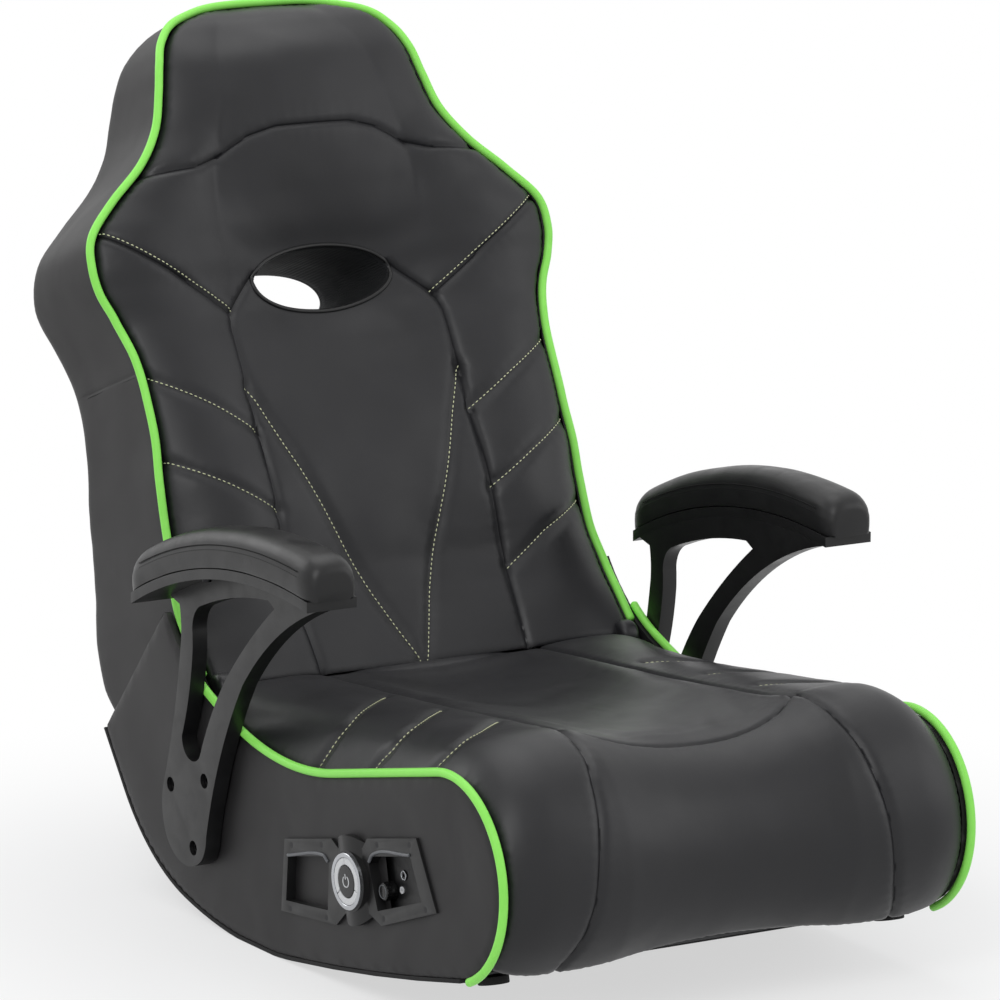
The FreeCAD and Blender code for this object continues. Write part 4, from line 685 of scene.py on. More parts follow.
    def build(self) -> None:
        """Lays the sheet, stuffs it and presses its sewn lines in."""
        self.flat, self.triangles = self.mesh(self.spacing)
        normal = self.normals(self.flat)
        rest = self.place(self.flat)
        solid = rest + self.stuffing(self.flat)
        rough = np.array([noise.noise(Vector(p) * 0.011) + 0.5 * noise.noise(Vector(p) * 0.03)
                          for p in rest])
        solid += normal * (self.wave * rough)[:, None]
        for line in self.lines:
            depth, width, pucker = line.kind.value
            run = resample(line.points, 1.0)
            near = tree_of(run)
            found = [near.find((p[0], p[1], 0)) for p in self.flat]
            reach = np.array([hit[2] for hit in found])
            along = np.array([hit[1] for hit in found])
            press = depth * np.exp(-(reach / width) ** 2)
            ripple = pucker * np.sin(along * 2 * math.pi / 13)
            ripple = ripple * np.exp(-reach / 9) * (1 - np.exp(-reach / 3))
            solid += normal * (ripple - press)[:, None]
        if self.edge_drop:
            rim = tree_of(np.vstack([resample(list(ring) + [ring[0]], 1.0) for ring in (self.outline,)]))
            reach = np.array([rim.find((p[0], p[1], 0))[2] for p in self.flat])
            share = np.clip(1 - reach / self.edge_reach, 0, 1)
            solid -= normal * (self.edge_drop * (1 - np.sqrt(1 - share ** 2)))[:, None]
        self.solid = solid

    def closed(self, ring: Sequence[Point2] | None, depth: float,
               inward: np.ndarray | None = None) -> tuple[np.ndarray, list]:
        """Cuts out one panel and closes it with side walls and a back.

        Args:
            ring: the panel's outline in the plane, or None for the whole sheet.
            depth: its thickness.
            inward: one direction for the back, or None for each point's own.

        Returns:
            Its points and faces.
        """
        middle = self.flat[self.triangles].mean(1)
        chosen = self.triangles if ring is None else self.triangles[inside(middle, np.asarray(ring, float))]
        used, flatten = np.unique(chosen, return_inverse=True)
        faces = flatten.reshape(chosen.shape)
        flat, top = self.flat[used], self.solid[used]
        once: dict[tuple[int, int], int] = {}
        for a, b, c in faces:
            for edge in ((a, b), (b, c), (c, a)):
                once[edge] = once.get(edge, 0) + 1
        border = {a: b for a, b in once if (b, a) not in once}
        rim = list(border)
        index = {old: len(top) + k for k, old in enumerate(rim)}
        way = -self.normals(flat[rim]) if inward is None else np.tile(inward, (len(rim), 1))
        low = top[rim] + way * depth
        walls = [[b, a, index[a], index[b]] for a, b in border.items()]
        spot = {old: k for k, old in enumerate(rim)}
        edges = [(spot[a], spot[b]) for a, b in border.items()]
        result = delaunay_2d_cdt([Vector(p) for p in flat[rim]], edges, [], 0, 1e-4)
        back = np.array([tuple(f) for f in result[2]])
        origin = [ids[0] for ids in result[3]]
        centre = np.array([tuple(p) for p in result[0]])[back].mean(1)
        loops = self.loops(border)
        keep = np.zeros(len(back), bool)
        for loop in loops:
            keep ^= inside(centre, flat[loop])
        floor = [[len(top) + origin[k] for k in (c, b, a)] for a, b, c in back[keep]]
        return np.vstack([top, low]), faces.tolist() + walls + floor

    @staticmethod
    def loops(border: dict[int, int]) -> list[list[int]]:
        """Closed loops of a border given as point to next point."""
        left = dict(border)
        found = []
        while left:
            start = next(iter(left))
            loop = [start]
            follow = left.pop(start)
            while follow != start and follow in left:
                loop.append(follow)
                follow = left.pop(follow)
            found.append(loop)
        return found

    def on_surface(self, run: np.ndarray) -> tuple[np.ndarray, np.ndarray]:
        """Points and normals of the finished sheet along a run in the plane."""
        near = tree_of(self.flat)
        normal = self.normals(run)
        base = self.place(run)
        lift = []
        rest = self.place(self.flat)
        for point in run:
            found = near.find_n((point[0], point[1], 0), 6)
            weight = 1 / (np.array([hit[2] for hit in found]) + 0.3) ** 2
            rows = [hit[1] for hit in found]
            lift.append(weight @ (self.solid[rows] - rest[rows]) / weight.sum())
        return base + np.array(lift), normal


class Stitcher:
    """Gathers runs of thread and lays their stitches, one mesh for each body and thread."""

    def __init__(self, shop: Workshop) -> None:
        """Keeps the workshop that owns the finishes."""
        self.shop = shop
        self.runs: dict[tuple[str, str, str], list[tuple[np.ndarray, np.ndarray]]] = {}

    def add(self, body: str, slot: str, finish: str, points: np.ndarray, normals: np.ndarray) -> None:
        """Adds one run of thread."""
        self.runs.setdefault((body, slot, finish), []).append((points, normals))

    def sew_lines(self, cover: Cover, body: str, slot: str) -> None:
        """Adds the thread of every stitched line of a cover."""
        for line in cover.lines:
            if line.thread:
                run = resample(line.points, 2.0)
                way = np.gradient(run, axis=0)
                way /= np.linalg.norm(way, axis=1)[:, None]
                run = run + np.column_stack([-way[:, 1], way[:, 0]]) * line.aside
                points, normals = cover.on_surface(run)
                self.add(body, slot, line.thread, points + normals * 0.45, normals)

    def tree(self, finish: str) -> bpy.types.NodeTree:
        """Geometry nodes that lay stitches along lines.

        Args:
            finish: the thread's finish.

        Returns:
            The tree, with the inputs Pitch, Length and Thickness.
        """
        tree = bpy.data.node_groups.new(f"stitches_{finish}", "GeometryNodeTree")
        face = tree.interface
        face.new_socket("Geometry", in_out="INPUT", socket_type="NodeSocketGeometry")
        for label, value in (("Pitch", 0.0052), ("Length", 0.0036), ("Thickness", 0.0013)):
            face.new_socket(label, in_out="INPUT", socket_type="NodeSocketFloat").default_value = value
        face.new_socket("Geometry", in_out="OUTPUT", socket_type="NodeSocketGeometry")
        board = NodeBoard(tree)
        given, out = board.add("NodeGroupInput"), board.add("NodeGroupOutput")
        curve = board.add("GeometryNodeMeshToCurve", None, Mesh=given.outputs["Geometry"])
        even = board.add("GeometryNodeResampleCurve", {"mode": "LENGTH"}, Curve=curve.outputs["Curve"],
                         Length=given.outputs["Pitch"])
        bead = board.add("GeometryNodeMeshUVSphere", None, Segments=6, Rings=4, Radius=0.5)
        tangent = board.add("GeometryNodeInputTangent")
        outward = board.add("GeometryNodeInputNamedAttribute", {"data_type": "FLOAT_VECTOR"}, Name="outward")
        ahead = board.add("FunctionNodeAlignRotationToVector", {"axis": "X"},
                          Vector=tangent.outputs["Tangent"])
        turned = board.add("FunctionNodeAlignRotationToVector", {"axis": "Z", "pivot_axis": "X"},
                           Rotation=ahead.outputs["Rotation"], Vector=outward.outputs["Attribute"])
        size = board.add("ShaderNodeCombineXYZ", None, X=given.outputs["Length"],
                         Y=given.outputs["Thickness"], Z=given.outputs["Thickness"])
        spread = board.add("GeometryNodeInstanceOnPoints", None, Points=even.outputs["Curve"],
                           Instance=bead.outputs["Mesh"], Rotation=turned.outputs["Rotation"],
                           Scale=size.outputs["Vector"])
        real = board.add("GeometryNodeRealizeInstances", None, Geometry=spread.outputs["Instances"])
        finished = board.add("GeometryNodeSetMaterial", None, Geometry=real.outputs["Geometry"],
                             Material=self.shop.materials[finish])
        tree.links.new(finished.outputs["Geometry"], out.inputs["Geometry"])
        return tree

    def finish(self) -> None:
        """Lays all stitches and hands them over."""
        for (body, slot, finish), runs in self.runs.items():
            name = f"stitches_{body}_{finish}"
            mesh = bpy.data.meshes.new(f"{name}_path")
            points = np.vstack([run for run, _ in runs])
            edges, start = [], 0
            for run, _ in runs:
                edges += [(start + k, start + k + 1) for k in range(len(run) - 1)]
                start += len(run)
            mesh.from_pydata((points * MM).tolist(), edges, [])
            outward = mesh.attributes.new("outward", "FLOAT_VECTOR", "POINT")
            outward.data.foreach_set("vector", np.vstack([n for _, n in runs]).ravel().astype(np.float32))
            piece = bpy.data.objects.new(name, mesh)
            bpy.context.scene.collection.objects.link(piece)
            tree = self.tree(finish)
            modifier = piece.modifiers.new("stitches", "NODES")
            modifier.node_group = tree
            pitch = next(s.identifier for s in tree.interface.items_tree if s.name == "Pitch")
            modifier[pitch] = 0.0052 if finish == "thread_pale" else 0.0042
            result = bpy.data.meshes.new_from_object(
                piece.evaluated_get(bpy.context.evaluated_depsgraph_get()))
            piece.modifiers.clear()
            piece.data = result
            self.shop.deliver(piece, body, slot)


# Back

HINGE = (93.13878, 235.559)
BACK_TILT = math.radians(20)
BACK_STATIONS = (
    (0, 249.5, 1, 222, 122, 0, 1, -2),
    (40, 249.5, 20, 243, 122, 9, 12, 4),
    (80, 249, 38, 244, 122, 15, 20, 10),
    (128, 244, 47, 240, 122, 20, 27, 14),
    (172, 242.5, 47, 233, 122, 22, 28, 16),
    (215, 241.5, 45, 226, 123, 15, 24, 10),
    (258, 238, 45, 219, 124, 6, 16, 2),
    (303, 237.5, 49, 215, 122, 3, 13, -3),
    (345, 240, 55, 218, 116, 0, 12, -12),
    (386, 251, 62, 223, 110, -4, 12, -22),
    (412, 262, 62, 223, 110, -5, 12, -26),
    (440, 267, 60, 217, 112, -2, 14, -22),
    (470, 262, 60, 204, 116, 4, 16, -6),
    (505, 231, 63, 197, 116, 8, 16, 10),
    (540, 192, 63, 201, 110, 12, 14, 22),
    (575, 167, 66, 203, 100, 16, 12, 30),
    (615, 154, 68, 199, 90, 18, 12, 30),
    (645, 146, 71, 189, 85, 16, 11, 27),
    (670, 134, 80, 174, 75, 12, 9, 20),
    (690, 112, 90, 148, 60, 8, 6, 13),
    (704, 75, 105, 128, 40, 3, 2.5, 5),
)


def back_place(x: np.ndarray, height: np.ndarray, depth: np.ndarray) -> np.ndarray:
    """Points in space of places on the back: across, up along it and rearwards."""
    y = HINGE[0] + height * math.sin(BACK_TILT) + depth * math.cos(BACK_TILT)
    z = HINGE[1] + height * math.cos(BACK_TILT) - depth * math.sin(BACK_TILT)
    return np.stack(np.broadcast_arrays(x, y, z), axis=-1)


@dataclass
class Backrest:
    """The folding back: headrest, centre, bolsters, rear cover, neck opening and piping."""

    shop: Workshop
    thread: Stitcher
    hole_height: float = 411.5
    hole_half: tuple[float, float] = (79.0, 32.5)
    collar_wall: float = 3.0
    piping_radius: float = 4.25
    edge_inset: float = 5.5
    pad_depth: float = 58.0
    rear_corner: float = 22.0
    rear_crown: float = 8.0
    gusset_height: float = 330.0
    top_height: float = 704.0
    top_round: float = 15.0
    head_depth: float = 16.0
    head_seam: tuple[Point2, ...] = ((0, 565), (43, 565), (75, 558), (94, 549), (113, 538), (134, 532),
                                     (163, 531), (190, 530))
    inner_seam: tuple[Point2, ...] = ((80, 419), (92, 408), (106, 394.5), (117, 382), (122, 366),
                                      (122.5, 303), (123, 220), (124, 100), (120, 0))
    shoulder_seam: tuple[Point2, ...] = ((117, 382), (257, 473))
    bolster_stitches: tuple[tuple[Point2, ...], ...] = (
        ((124, 257), (175, 289), (232, 322)), ((123, 171), (176, 203), (237, 236)),
        ((126, 87), (173, 119), (240, 150)))
    chevron: tuple[Point2, ...] = ((122.5, 302), (62, 150), (4, 2))

    def __post_init__(self) -> None:
        """Prepares the curves through the stations."""
        self.rows = Smooth(BACK_STATIONS)

    def front_depth(self, x: np.ndarray, height: np.ndarray) -> np.ndarray:
        """Depth of the front surface at these places."""
        half, front, _, seam, seam_lift, bolster_lift, centre_lift = self.rows.at(height).T
        across = np.abs(x)
        inner = centre_lift + (seam_lift - centre_lift) * np.minimum(across / seam, 1) ** 2
        share = np.clip((across - seam) / np.maximum(half - self.edge_inset - seam, 1), 0, 1)
        crown = 4 * (bolster_lift - seam_lift / 2) * share * (1 - share)
        outer = seam_lift * (1 - share) + crown
        outer += 5.0 * np.sqrt(np.clip(1 - share ** 6, 0, 1)) * (share > 0) * share
        return front - np.where(across < seam, inner, outer)

    def surface(self, flat: np.ndarray) -> np.ndarray:
        """Front surface of the back in space."""
        return back_place(flat[:, 0], flat[:, 1], self.front_depth(flat[:, 0], flat[:, 1]))

    def edge(self, inset: float, low: float, high: float, step: float = 5.0) -> np.ndarray:
        """Right-hand half of the outline in the plane, from low to high."""
        height = np.arange(low, high + 0.1, step)
        half = self.rows.at(height)[:, 0] - inset
        return np.column_stack([half, height])

    def outline(self, inset: float) -> list[Point2]:
        """Whole outline, counterclockwise seen from the front."""
        side = self.edge(inset, 0.5, 700)
        top = [(72.0, 704.0 - inset / 3), (40.0, 705.5 - inset / 3), (0.0, 706.0 - inset / 3)]
        right = [tuple(p) for p in side] + top
        return right + [(-x, y) for x, y in reversed(right[:-1])]

    def mouth(self, grow: float, count: int = 96) -> list[Point2]:
        """Outline of the neck opening, grown."""
        turn = np.linspace(0, 2 * math.pi, count, endpoint=False)
        return [((self.hole_half[0] + grow) * math.cos(a), self.hole_height + (self.hole_half[1] + grow)
                 * math.sin(a)) for a in turn]

    def both(self, points: Iterable[Point2], kind: Line, thread: str | None = None,
             aside: float = 0.0) -> list[Sewn]:
        """The same sewn line on both sides."""
        run = list(points)
        return [Sewn(run, kind, thread, aside), Sewn([(-x, y) for x, y in run], kind, thread, -aside)]

    def build(self) -> None:
        """Builds every piece of the back."""
        edge_at = [float(self.rows.at([h])[0, 0]) - self.edge_inset for h in (530, 473, 322, 236, 150)]
        head = [(-x, y) for x, y in reversed(self.head_seam[1:-1])] + list(self.head_seam[:-1])
        head = [(-edge_at[0], 530)] + head + [(edge_at[0], 530)]
        shoulder = (self.shoulder_seam[0], (edge_at[1], self.shoulder_seam[1][1]))
        lines = [Sewn(head, Line.SEAM)]
        lines += self.both(self.inner_seam, Line.SEAM)
        lines += self.both(shoulder, Line.SEAM, "thread_pale", 3.4)
        lines += self.both(self.chevron, Line.QUILT, "thread_pale")
        for run, end in zip(self.bolster_stitches, edge_at[2:]):
            lines += self.both((*run[:2], (end, run[2][1])), Line.QUILT, "thread_pale")
        front = Cover(self.surface, self.outline(self.edge_inset), lines, [self.mouth(self.collar_wall)],
                      spacing=4.4, swell=7.0, wave=0.9, edge_drop=3.0, edge_reach=7.0)
        front.build()
        LOG.info("back sheet: %d triangles", len(front.triangles))
        self.panels(front, head, shoulder)
        self.thread.sew_lines(front, "back", "upholstery")
        self.rear_cover()
        self.collar(front)
        self.piping()

    def panels(self, front: Cover, head: list[Point2], shoulder: Sequence[Point2]) -> None:
        """Cuts the front sheet into its panels.

        Args:
            front: the finished sheet.
            head: the seam under the headrest, from the sitter's right to the left.
            shoulder: the right-hand seam over the bolster, from the inside out.
        """
        rearward = np.array([0.0, math.cos(BACK_TILT), -math.sin(BACK_TILT)])
        far = 290.0
        seam = list(self.inner_seam)
        beyond = (far, shoulder[1][1] + 22)
        bolster = [*shoulder, beyond, (far, -20), (120, -20), *reversed(seam[3:])]
        half = [*seam[:3], *shoulder, beyond, (far, 530)]
        upper = [*half, *reversed(head), *[(-x, y) for x, y in reversed(half)]]
        centre = [*seam, (120, -20), (-120, -20), *[(-x, y) for x, y in reversed(seam)]]
        panels = (
            ("headrest_cushion", [(-far, 530), *head, (far, 530), (far, 800), (-far, 800)],
             "headrest_pad", 0.7),
            ("back_upper_cushion", upper, "back_centre_pad", 0.6),
            ("back_centre_cushion", centre, "back_centre_pad", 0.6),
            ("back_bolster_cushion_left", bolster, "back_bolster_left", 0.65),
            ("back_bolster_cushion_right", [(-x, y) for x, y in bolster], "back_bolster_right", 0.65),
        )
        for name, ring, node, fill in panels:
            depth = self.head_depth if node == "headrest_pad" else self.pad_depth
            verts, faces = front.closed(ring, depth, rearward)
            piece = self.shop.piece(name, verts, faces, "soft_hide")
            self.shop.sharpen(piece, 60)
            self.shop.deliver(piece, "back", "upholstery", (node,), fill)

    def section(self, height: float, share: float) -> np.ndarray:
        """Outside of the back at one height, from its right front edge round the rear to its left.

        Args:
            height: place along the back.
            share: how far the rear is drawn forward to the front edge, for the top.

        Returns:
            Rows of across and depth.
        """
        half, front, rear = self.rows.at([height])[0, :3]
        corner = min(self.rear_corner, (rear - front) * 0.4, half * 0.4)
        turn = np.linspace(0, math.pi / 2, 9)
        side = [(half - 1.6, front + 2.4), (half - 0.3, front + 5.0)]
        side += [(half, front + 8 + (rear - corner - front - 8) * k / 12) for k in range(12)]
        side += [(half - corner + corner * math.cos(a), rear - corner + corner * math.sin(a)) for a in turn]
        side += [((half - corner) * (1 - k / 14), rear + self.rear_crown * (1 - (1 - k / 14) ** 2))
                 for k in range(1, 15)]
        run = np.array(side + [(-x, v) for x, v in reversed(side[:-1])])
        run[:, 1] += (front + 2.4 - run[:, 1]) * share
        return run

    def rear_cover(self) -> None:
        """Side gussets and rear panel as one skin, with the neck opening cut."""
        fine = [self.gusset_height + d for d in (-4, -2, -1, 0, 1, 2, 4)]
        rough_steps = [float(h) for h in range(6, round(self.top_height) + 1, 7)
                       if abs(h - self.gusset_height) > 5]
        heights = sorted({0.0, 1.5, 3.0, *rough_steps, *fine, self.top_height})
        shoulder = self.top_height - self.top_round
        front, rear = self.rows.at([self.top_height])[0, 1:3]
        levels = [(h, h, 0.0) for h in heights if h < shoulder]
        for turn in np.linspace(0, math.pi / 2, 9):
            height = shoulder + self.top_round * math.sin(turn)
            levels.append((height, height, self.top_round * (1 - math.cos(turn)) / (rear - front)))
        levels += [(self.top_height, self.top_height + rise, share)
                   for share, rise in ((0.22, 0.6), (0.32, 1.6), (0.45, 2.3), (0.7, 2.6), (1.0, 2.4))]
        verts = []
        for source, height, share in levels:
            run = self.section(source, share)
            half, front, rear = self.rows.at([source])[0, :3]
            drop = max(height - self.top_height, 0.0) * (run[:, 0] / half) ** 4
            points = back_place(run[:, 0], height - drop, run[:, 1])
            centre = back_place(np.zeros(1), np.array([height]), np.array([(front + rear) / 2]))[0]
            outward = points - centre
            outward /= np.linalg.norm(outward, axis=1)[:, None]
            seam = math.exp(-((height - self.gusset_height) / 1.7) ** 2) * 1.6
            on_side = (np.abs(run[:, 0]) > half - 1) & (run[:, 1] < 182)
            rough = np.array([noise.noise(Vector(p) * 0.018) + 0.6 * noise.noise(Vector(p) * 0.05)
                              for p in points])
            verts.append(points + outward * (0.7 * rough - seam * on_side)[:, None])
        columns = len(verts[0])
        faces = grid_faces(len(levels), columns, False)
        piece = self.shop.piece("back_rear_cover", np.vstack(verts), faces, "cover_hide")
        wall = piece.modifiers.new("wall", "SOLIDIFY")
        wall.thickness = 3 * MM
        wall.offset = -1
        drill = self.drill()
        cut = piece.modifiers.new("neck", "BOOLEAN")
        cut.object = drill
        cut.solver = "EXACT"
        self.bake(piece)
        bpy.data.objects.remove(drill)
        self.shop.sharpen(piece, 50)
        self.shop.deliver(piece, "back", "cover", ("back_rear_shell",))
        for sign in (1, -1):
            depth = np.linspace(68, 174, 60)
            half = float(self.rows.at([self.gusset_height])[0, 0])
            normals = np.tile((float(sign), 0, 0), (60, 1))
            for rise in (3.6, -3.6):
                points = back_place(np.full(60, sign * (half - 0.7)),
                                    np.full(60, self.gusset_height + rise), depth)
                self.thread.add("back", "cover", "thread_dark", points, normals)

    @staticmethod
    def bake(piece: bpy.types.Object) -> None:
        """Turns a piece's modifiers into its mesh, with its faces outward."""
        mesh = bpy.data.meshes.new_from_object(piece.evaluated_get(bpy.context.evaluated_depsgraph_get()))
        piece.modifiers.clear()
        work = bmesh.new()
        work.from_mesh(mesh)
        bmesh.ops.remove_doubles(work, verts=work.verts, dist=1e-6)
        bmesh.ops.recalc_face_normals(work, faces=work.faces)
        work.to_mesh(mesh)
        work.free()
        mesh.polygons.foreach_set("use_smooth", [True] * len(mesh.polygons))
        piece.data = mesh

    def drill(self) -> bpy.types.Object:
        """Elliptic bar through the back along its depth, for cutting."""
        ring = np.array(self.mouth(self.collar_wall - 0.2, 128))
        ends = [back_place(ring[:, 0], ring[:, 1], np.full(len(ring), depth)) for depth in (120.0, 260.0)]
        faces = grid_faces(2, len(ring), True)
        faces += [list(range(len(ring)))[::-1], [len(ring) + k for k in range(len(ring))]]
        bar = self.shop.piece("drill", np.vstack(ends), faces, "soft_hide")
        work = bmesh.new()
        work.from_mesh(bar.data)
        bmesh.ops.recalc_face_normals(work, faces=work.faces)
        work.to_mesh(bar.data)
        work.free()
        return bar

    def rear_depth(self, x: np.ndarray, height: np.ndarray) -> np.ndarray:
        """Depth of the rear surface at these places."""
        half, _, rear = self.rows.at(height)[:, :3].T
        return rear + self.rear_crown * (1 - (x / (half - self.rear_corner)) ** 2)

    def collar(self, front: Cover) -> None:
        """Ribbed lining of the neck opening, with a rolled rim at both ends.

        Args:
            front: the finished front sheet, whose surface the rim follows.
        """
        ribs, per_rib = 84, 6
        count = ribs * per_rib
        turn = np.linspace(0, 2 * math.pi, count, endpoint=False)
        wave = 0.45 * (0.5 + 0.5 * np.cos(turn * ribs)) ** 0.5
        levels = np.linspace(0, 1, 16)
        sheets = []
        for grow, order in ((0.0, levels), (self.collar_wall - 0.3, levels[::-1])):
            for level in order:
                size = grow - (wave if grow == 0 else 0)
                x = (self.hole_half[0] + size) * np.cos(turn)
                up = (self.hole_half[1] + size) * np.sin(turn)
                height = self.hole_height + up
                near = self.front_depth(x, height) + 1.0
                far = self.rear_depth(x, height) - 0.5
                sheets.append(back_place(x, height, near + (far - near) * level))
        faces = grid_faces(len(sheets), count, True)
        last = (len(sheets) - 1) * count
        faces += [[last + k, last + (k + 1) % count, (k + 1) % count, k]
                  for k in range(count)]
        lining = self.shop.piece("neck_lining", np.vstack(sheets), faces, "lining_mesh")
        self.bake(lining)
        self.shop.deliver(lining, "back", "mesh", ("neck_collar",))
        ring = np.array(self.mouth(1.6, 160))
        front_line, _ = front.on_surface(ring)
        rear_line = back_place(ring[:, 0], ring[:, 1], self.rear_depth(ring[:, 0], ring[:, 1]))
        for name, line in (("neck_rim_front", front_line), ("neck_rim_rear", rear_line)):
            verts, faces = hoop(line, 2.3, 10)
            rim = self.shop.piece(name, verts, faces, "moulded_black")
            self.bake(rim)
            self.shop.deliver(rim, "back", "mesh")

    def piping(self) -> None:
        """Bright piping round the front edge, from one parting line over the head to the other."""
        side = self.edge(0.0, 16.0, 698.0, 3.0)
        depth = self.rows.at(side[:, 1])[:, 1]
        right = back_place(side[:, 0], side[:, 1], depth)
        top_x = np.linspace(70, 0, 16)
        top = back_place(top_x, 703.5 + 4.5 * (1 - (top_x / 75) ** 4), np.full(16, 105.0))
        run = np.vstack([right, top])
        whole = np.vstack([run, (run[:-1] * (-1, 1, 1))[::-1]])
        verts, faces = tube(rounded_run(whole, 3.0), self.piping_radius, 16)
        piece = self.shop.piece("back_edge_piping", verts, faces, "piping_green")
        self.bake(piece)
        self.shop.deliver(piece, "back", "piping", ("back_piping",))


def hoop(points: np.ndarray, radius: float, sides: int) -> tuple[np.ndarray, list]:
    """Round closed tube along a ring of points."""
    way = np.roll(points, -1, axis=0) - np.roll(points, 1, axis=0)
    way /= np.linalg.norm(way, axis=1)[:, None]
    side = points - points.mean(0)
    side -= way * np.einsum("ij,ij->i", side, way)[:, None]
    side /= np.linalg.norm(side, axis=1)[:, None]
    up = np.cross(way, side)
    turn = np.linspace(0, 2 * math.pi, sides, endpoint=False)
    verts = points[:, None] + radius * (np.cos(turn)[None, :, None] * side[:, None]
                                        + np.sin(turn)[None, :, None] * up[:, None])
    count = len(points)
    faces = [[i * sides + k, i * sides + (k + 1) % sides, ((i + 1) % count) * sides + (k + 1) % sides,
              ((i + 1) % count) * sides + k] for i in range(count) for k in range(sides)]
    return verts.reshape(-1, 3), faces


# Seat and base

def cosine(angle: float) -> float:
    """Cosine of an angle in degrees."""
    return math.cos(math.radians(angle))


def sine(angle: float) -> float:
    """Sine of an angle in degrees."""
    return math.sin(math.radians(angle))


def low_point(centre: Point2, radius: float, slope: float) -> Point2:
    """Lowest-side point of a circle where its tangent has this slope."""
    return (centre[0] + radius * sine(slope), centre[1] - radius * cosine(slope))


@dataclass
class SeatSide:
    """Side view of the seat's edge: nose, straight run, dip and the rise behind."""

    nose: Point2 = (-371.5 - PLAN_CENTRE, 154.0)
    nose_radius: float = 98.5
    slope: float = 12.3
    straight: float = 200.0
    dip_radius: float = 380.0
    rear_slope: float = 20.5
    crease_run: float = 28.0
    horn_radius: float = 200.0
    horn_angle: float = 55.0
    seam_lift: float = 25.0
    seam_sag: float = 3.0
    bolster_lift: float = 30.0
    centre_lift: float = 1.0
    nose_crown: float = 12.0
    crease_rise: float = 5.0
    crease_round: float = 52.0
    crease_gap: float = 1.0
    crease_drop: float = 3.0

    def __post_init__(self) -> None:
        """Works out the points where the lines and arcs meet."""
        up = (sine(self.slope), cosine(self.slope))
        self.nose_top = (self.nose[0] + up[0] * self.nose_radius, self.nose[1] + up[1] * self.nose_radius)
        self.flat_end = (self.nose_top[0] + cosine(self.slope) * self.straight,
                         self.nose_top[1] - sine(self.slope) * self.straight)
        self.dip = (self.flat_end[0] + up[0] * self.dip_radius, self.flat_end[1] + up[1] * self.dip_radius)
        dip_end = low_point(self.dip, self.dip_radius, self.rear_slope)
        crease = (dip_end[0] + cosine(self.rear_slope) * self.crease_run,
                  dip_end[1] + sine(self.rear_slope) * self.crease_run)
        self.horn = (crease[0] - sine(self.rear_slope) * self.horn_radius,
                     crease[1] + cosine(self.rear_slope) * self.horn_radius)
        self.rear = HINGE[0] - self.crease_gap

    def edge_height(self, y: float) -> float:
        """Height of the side edge at a place between the nose and the dip's end."""
        if y < self.flat_end[0]:
            return self.nose_top[1] - (y - self.nose_top[0]) * math.tan(math.radians(self.slope))
        return self.dip[1] - math.sqrt(self.dip_radius ** 2 - (y - self.dip[0]) ** 2)

    def seam_height(self, y: float) -> float:
        """Height of the seam beside the sitter at a place."""
        front = self.nose_top[1] + self.seam_lift
        share = (y - self.nose_top[0]) / (HINGE[0] - self.crease_round - self.nose_top[0])
        sag = self.seam_sag * 4 * share * (1 - share)
        return front + (HINGE[1] + self.crease_rise - front) * share - sag

    def profile(self, lift: float, fill: float) -> np.ndarray:
        """Side view of the seat's top at one place across, from the crease forward and round the nose.

        Args:
            lift: height over the side edge.
            fill: how far the edge's dip is bridged.

        Returns:
            Rows of y and z, evenly many on each stretch.
        """
        crown = max(lift, 0) * self.nose_crown / self.bolster_lift + min(lift, 0)
        rows = []
        start = self.rear - self.crease_round
        high = self.edge_height(start)
        top_z = high + lift + fill * (self.seam_height(start) - self.seam_lift - high)
        lip_z = HINGE[1] - self.crease_drop
        for k in range(13):
            turn = math.pi / 2 * k / 12
            rows.append((start + self.crease_round * math.cos(turn),
                         lip_z + (top_z - lip_z) * math.sin(turn)))
        for k in range(1, 61):
            y = start + (self.nose_top[0] - start) * k / 60
            edge = self.edge_height(y)
            rows.append((y, edge + lift + fill * (self.seam_height(y) - self.seam_lift - edge)))
        begin = 90 - self.slope
        for k in range(1, 41):
            share = k / 40
            angle = begin + (232 - begin) * share
            swell = (1 - math.cos(math.pi * min(share * 1.6, 1))) / 2
            size = self.nose_radius + lift + (crown - lift) * swell
            rows.append((self.nose[0] + size * cosine(angle), self.nose[1] + size * sine(angle)))
        return np.array(rows)

    def edge_line(self) -> np.ndarray:
        """Side edge from under the nose over the seat to the tip behind."""
        rows = [(self.nose[0] + self.nose_radius * cosine(a), self.nose[1] + self.nose_radius * sine(a))
                for a in np.linspace(248, 90 - self.slope, 40)]
        rows += [(self.nose_top[0] + (self.flat_end[0] - self.nose_top[0]) * k / 12,
                  self.nose_top[1] + (self.flat_end[1] - self.nose_top[1]) * k / 12) for k in range(1, 13)]
        rows += [low_point(self.dip, self.dip_radius, s)
                 for s in np.linspace(-self.slope, self.rear_slope, 24)[1:]]
        rows += [low_point(self.horn, self.horn_radius, s)
                 for s in np.linspace(self.rear_slope, self.horn_angle, 16)]
        return np.array(rows)


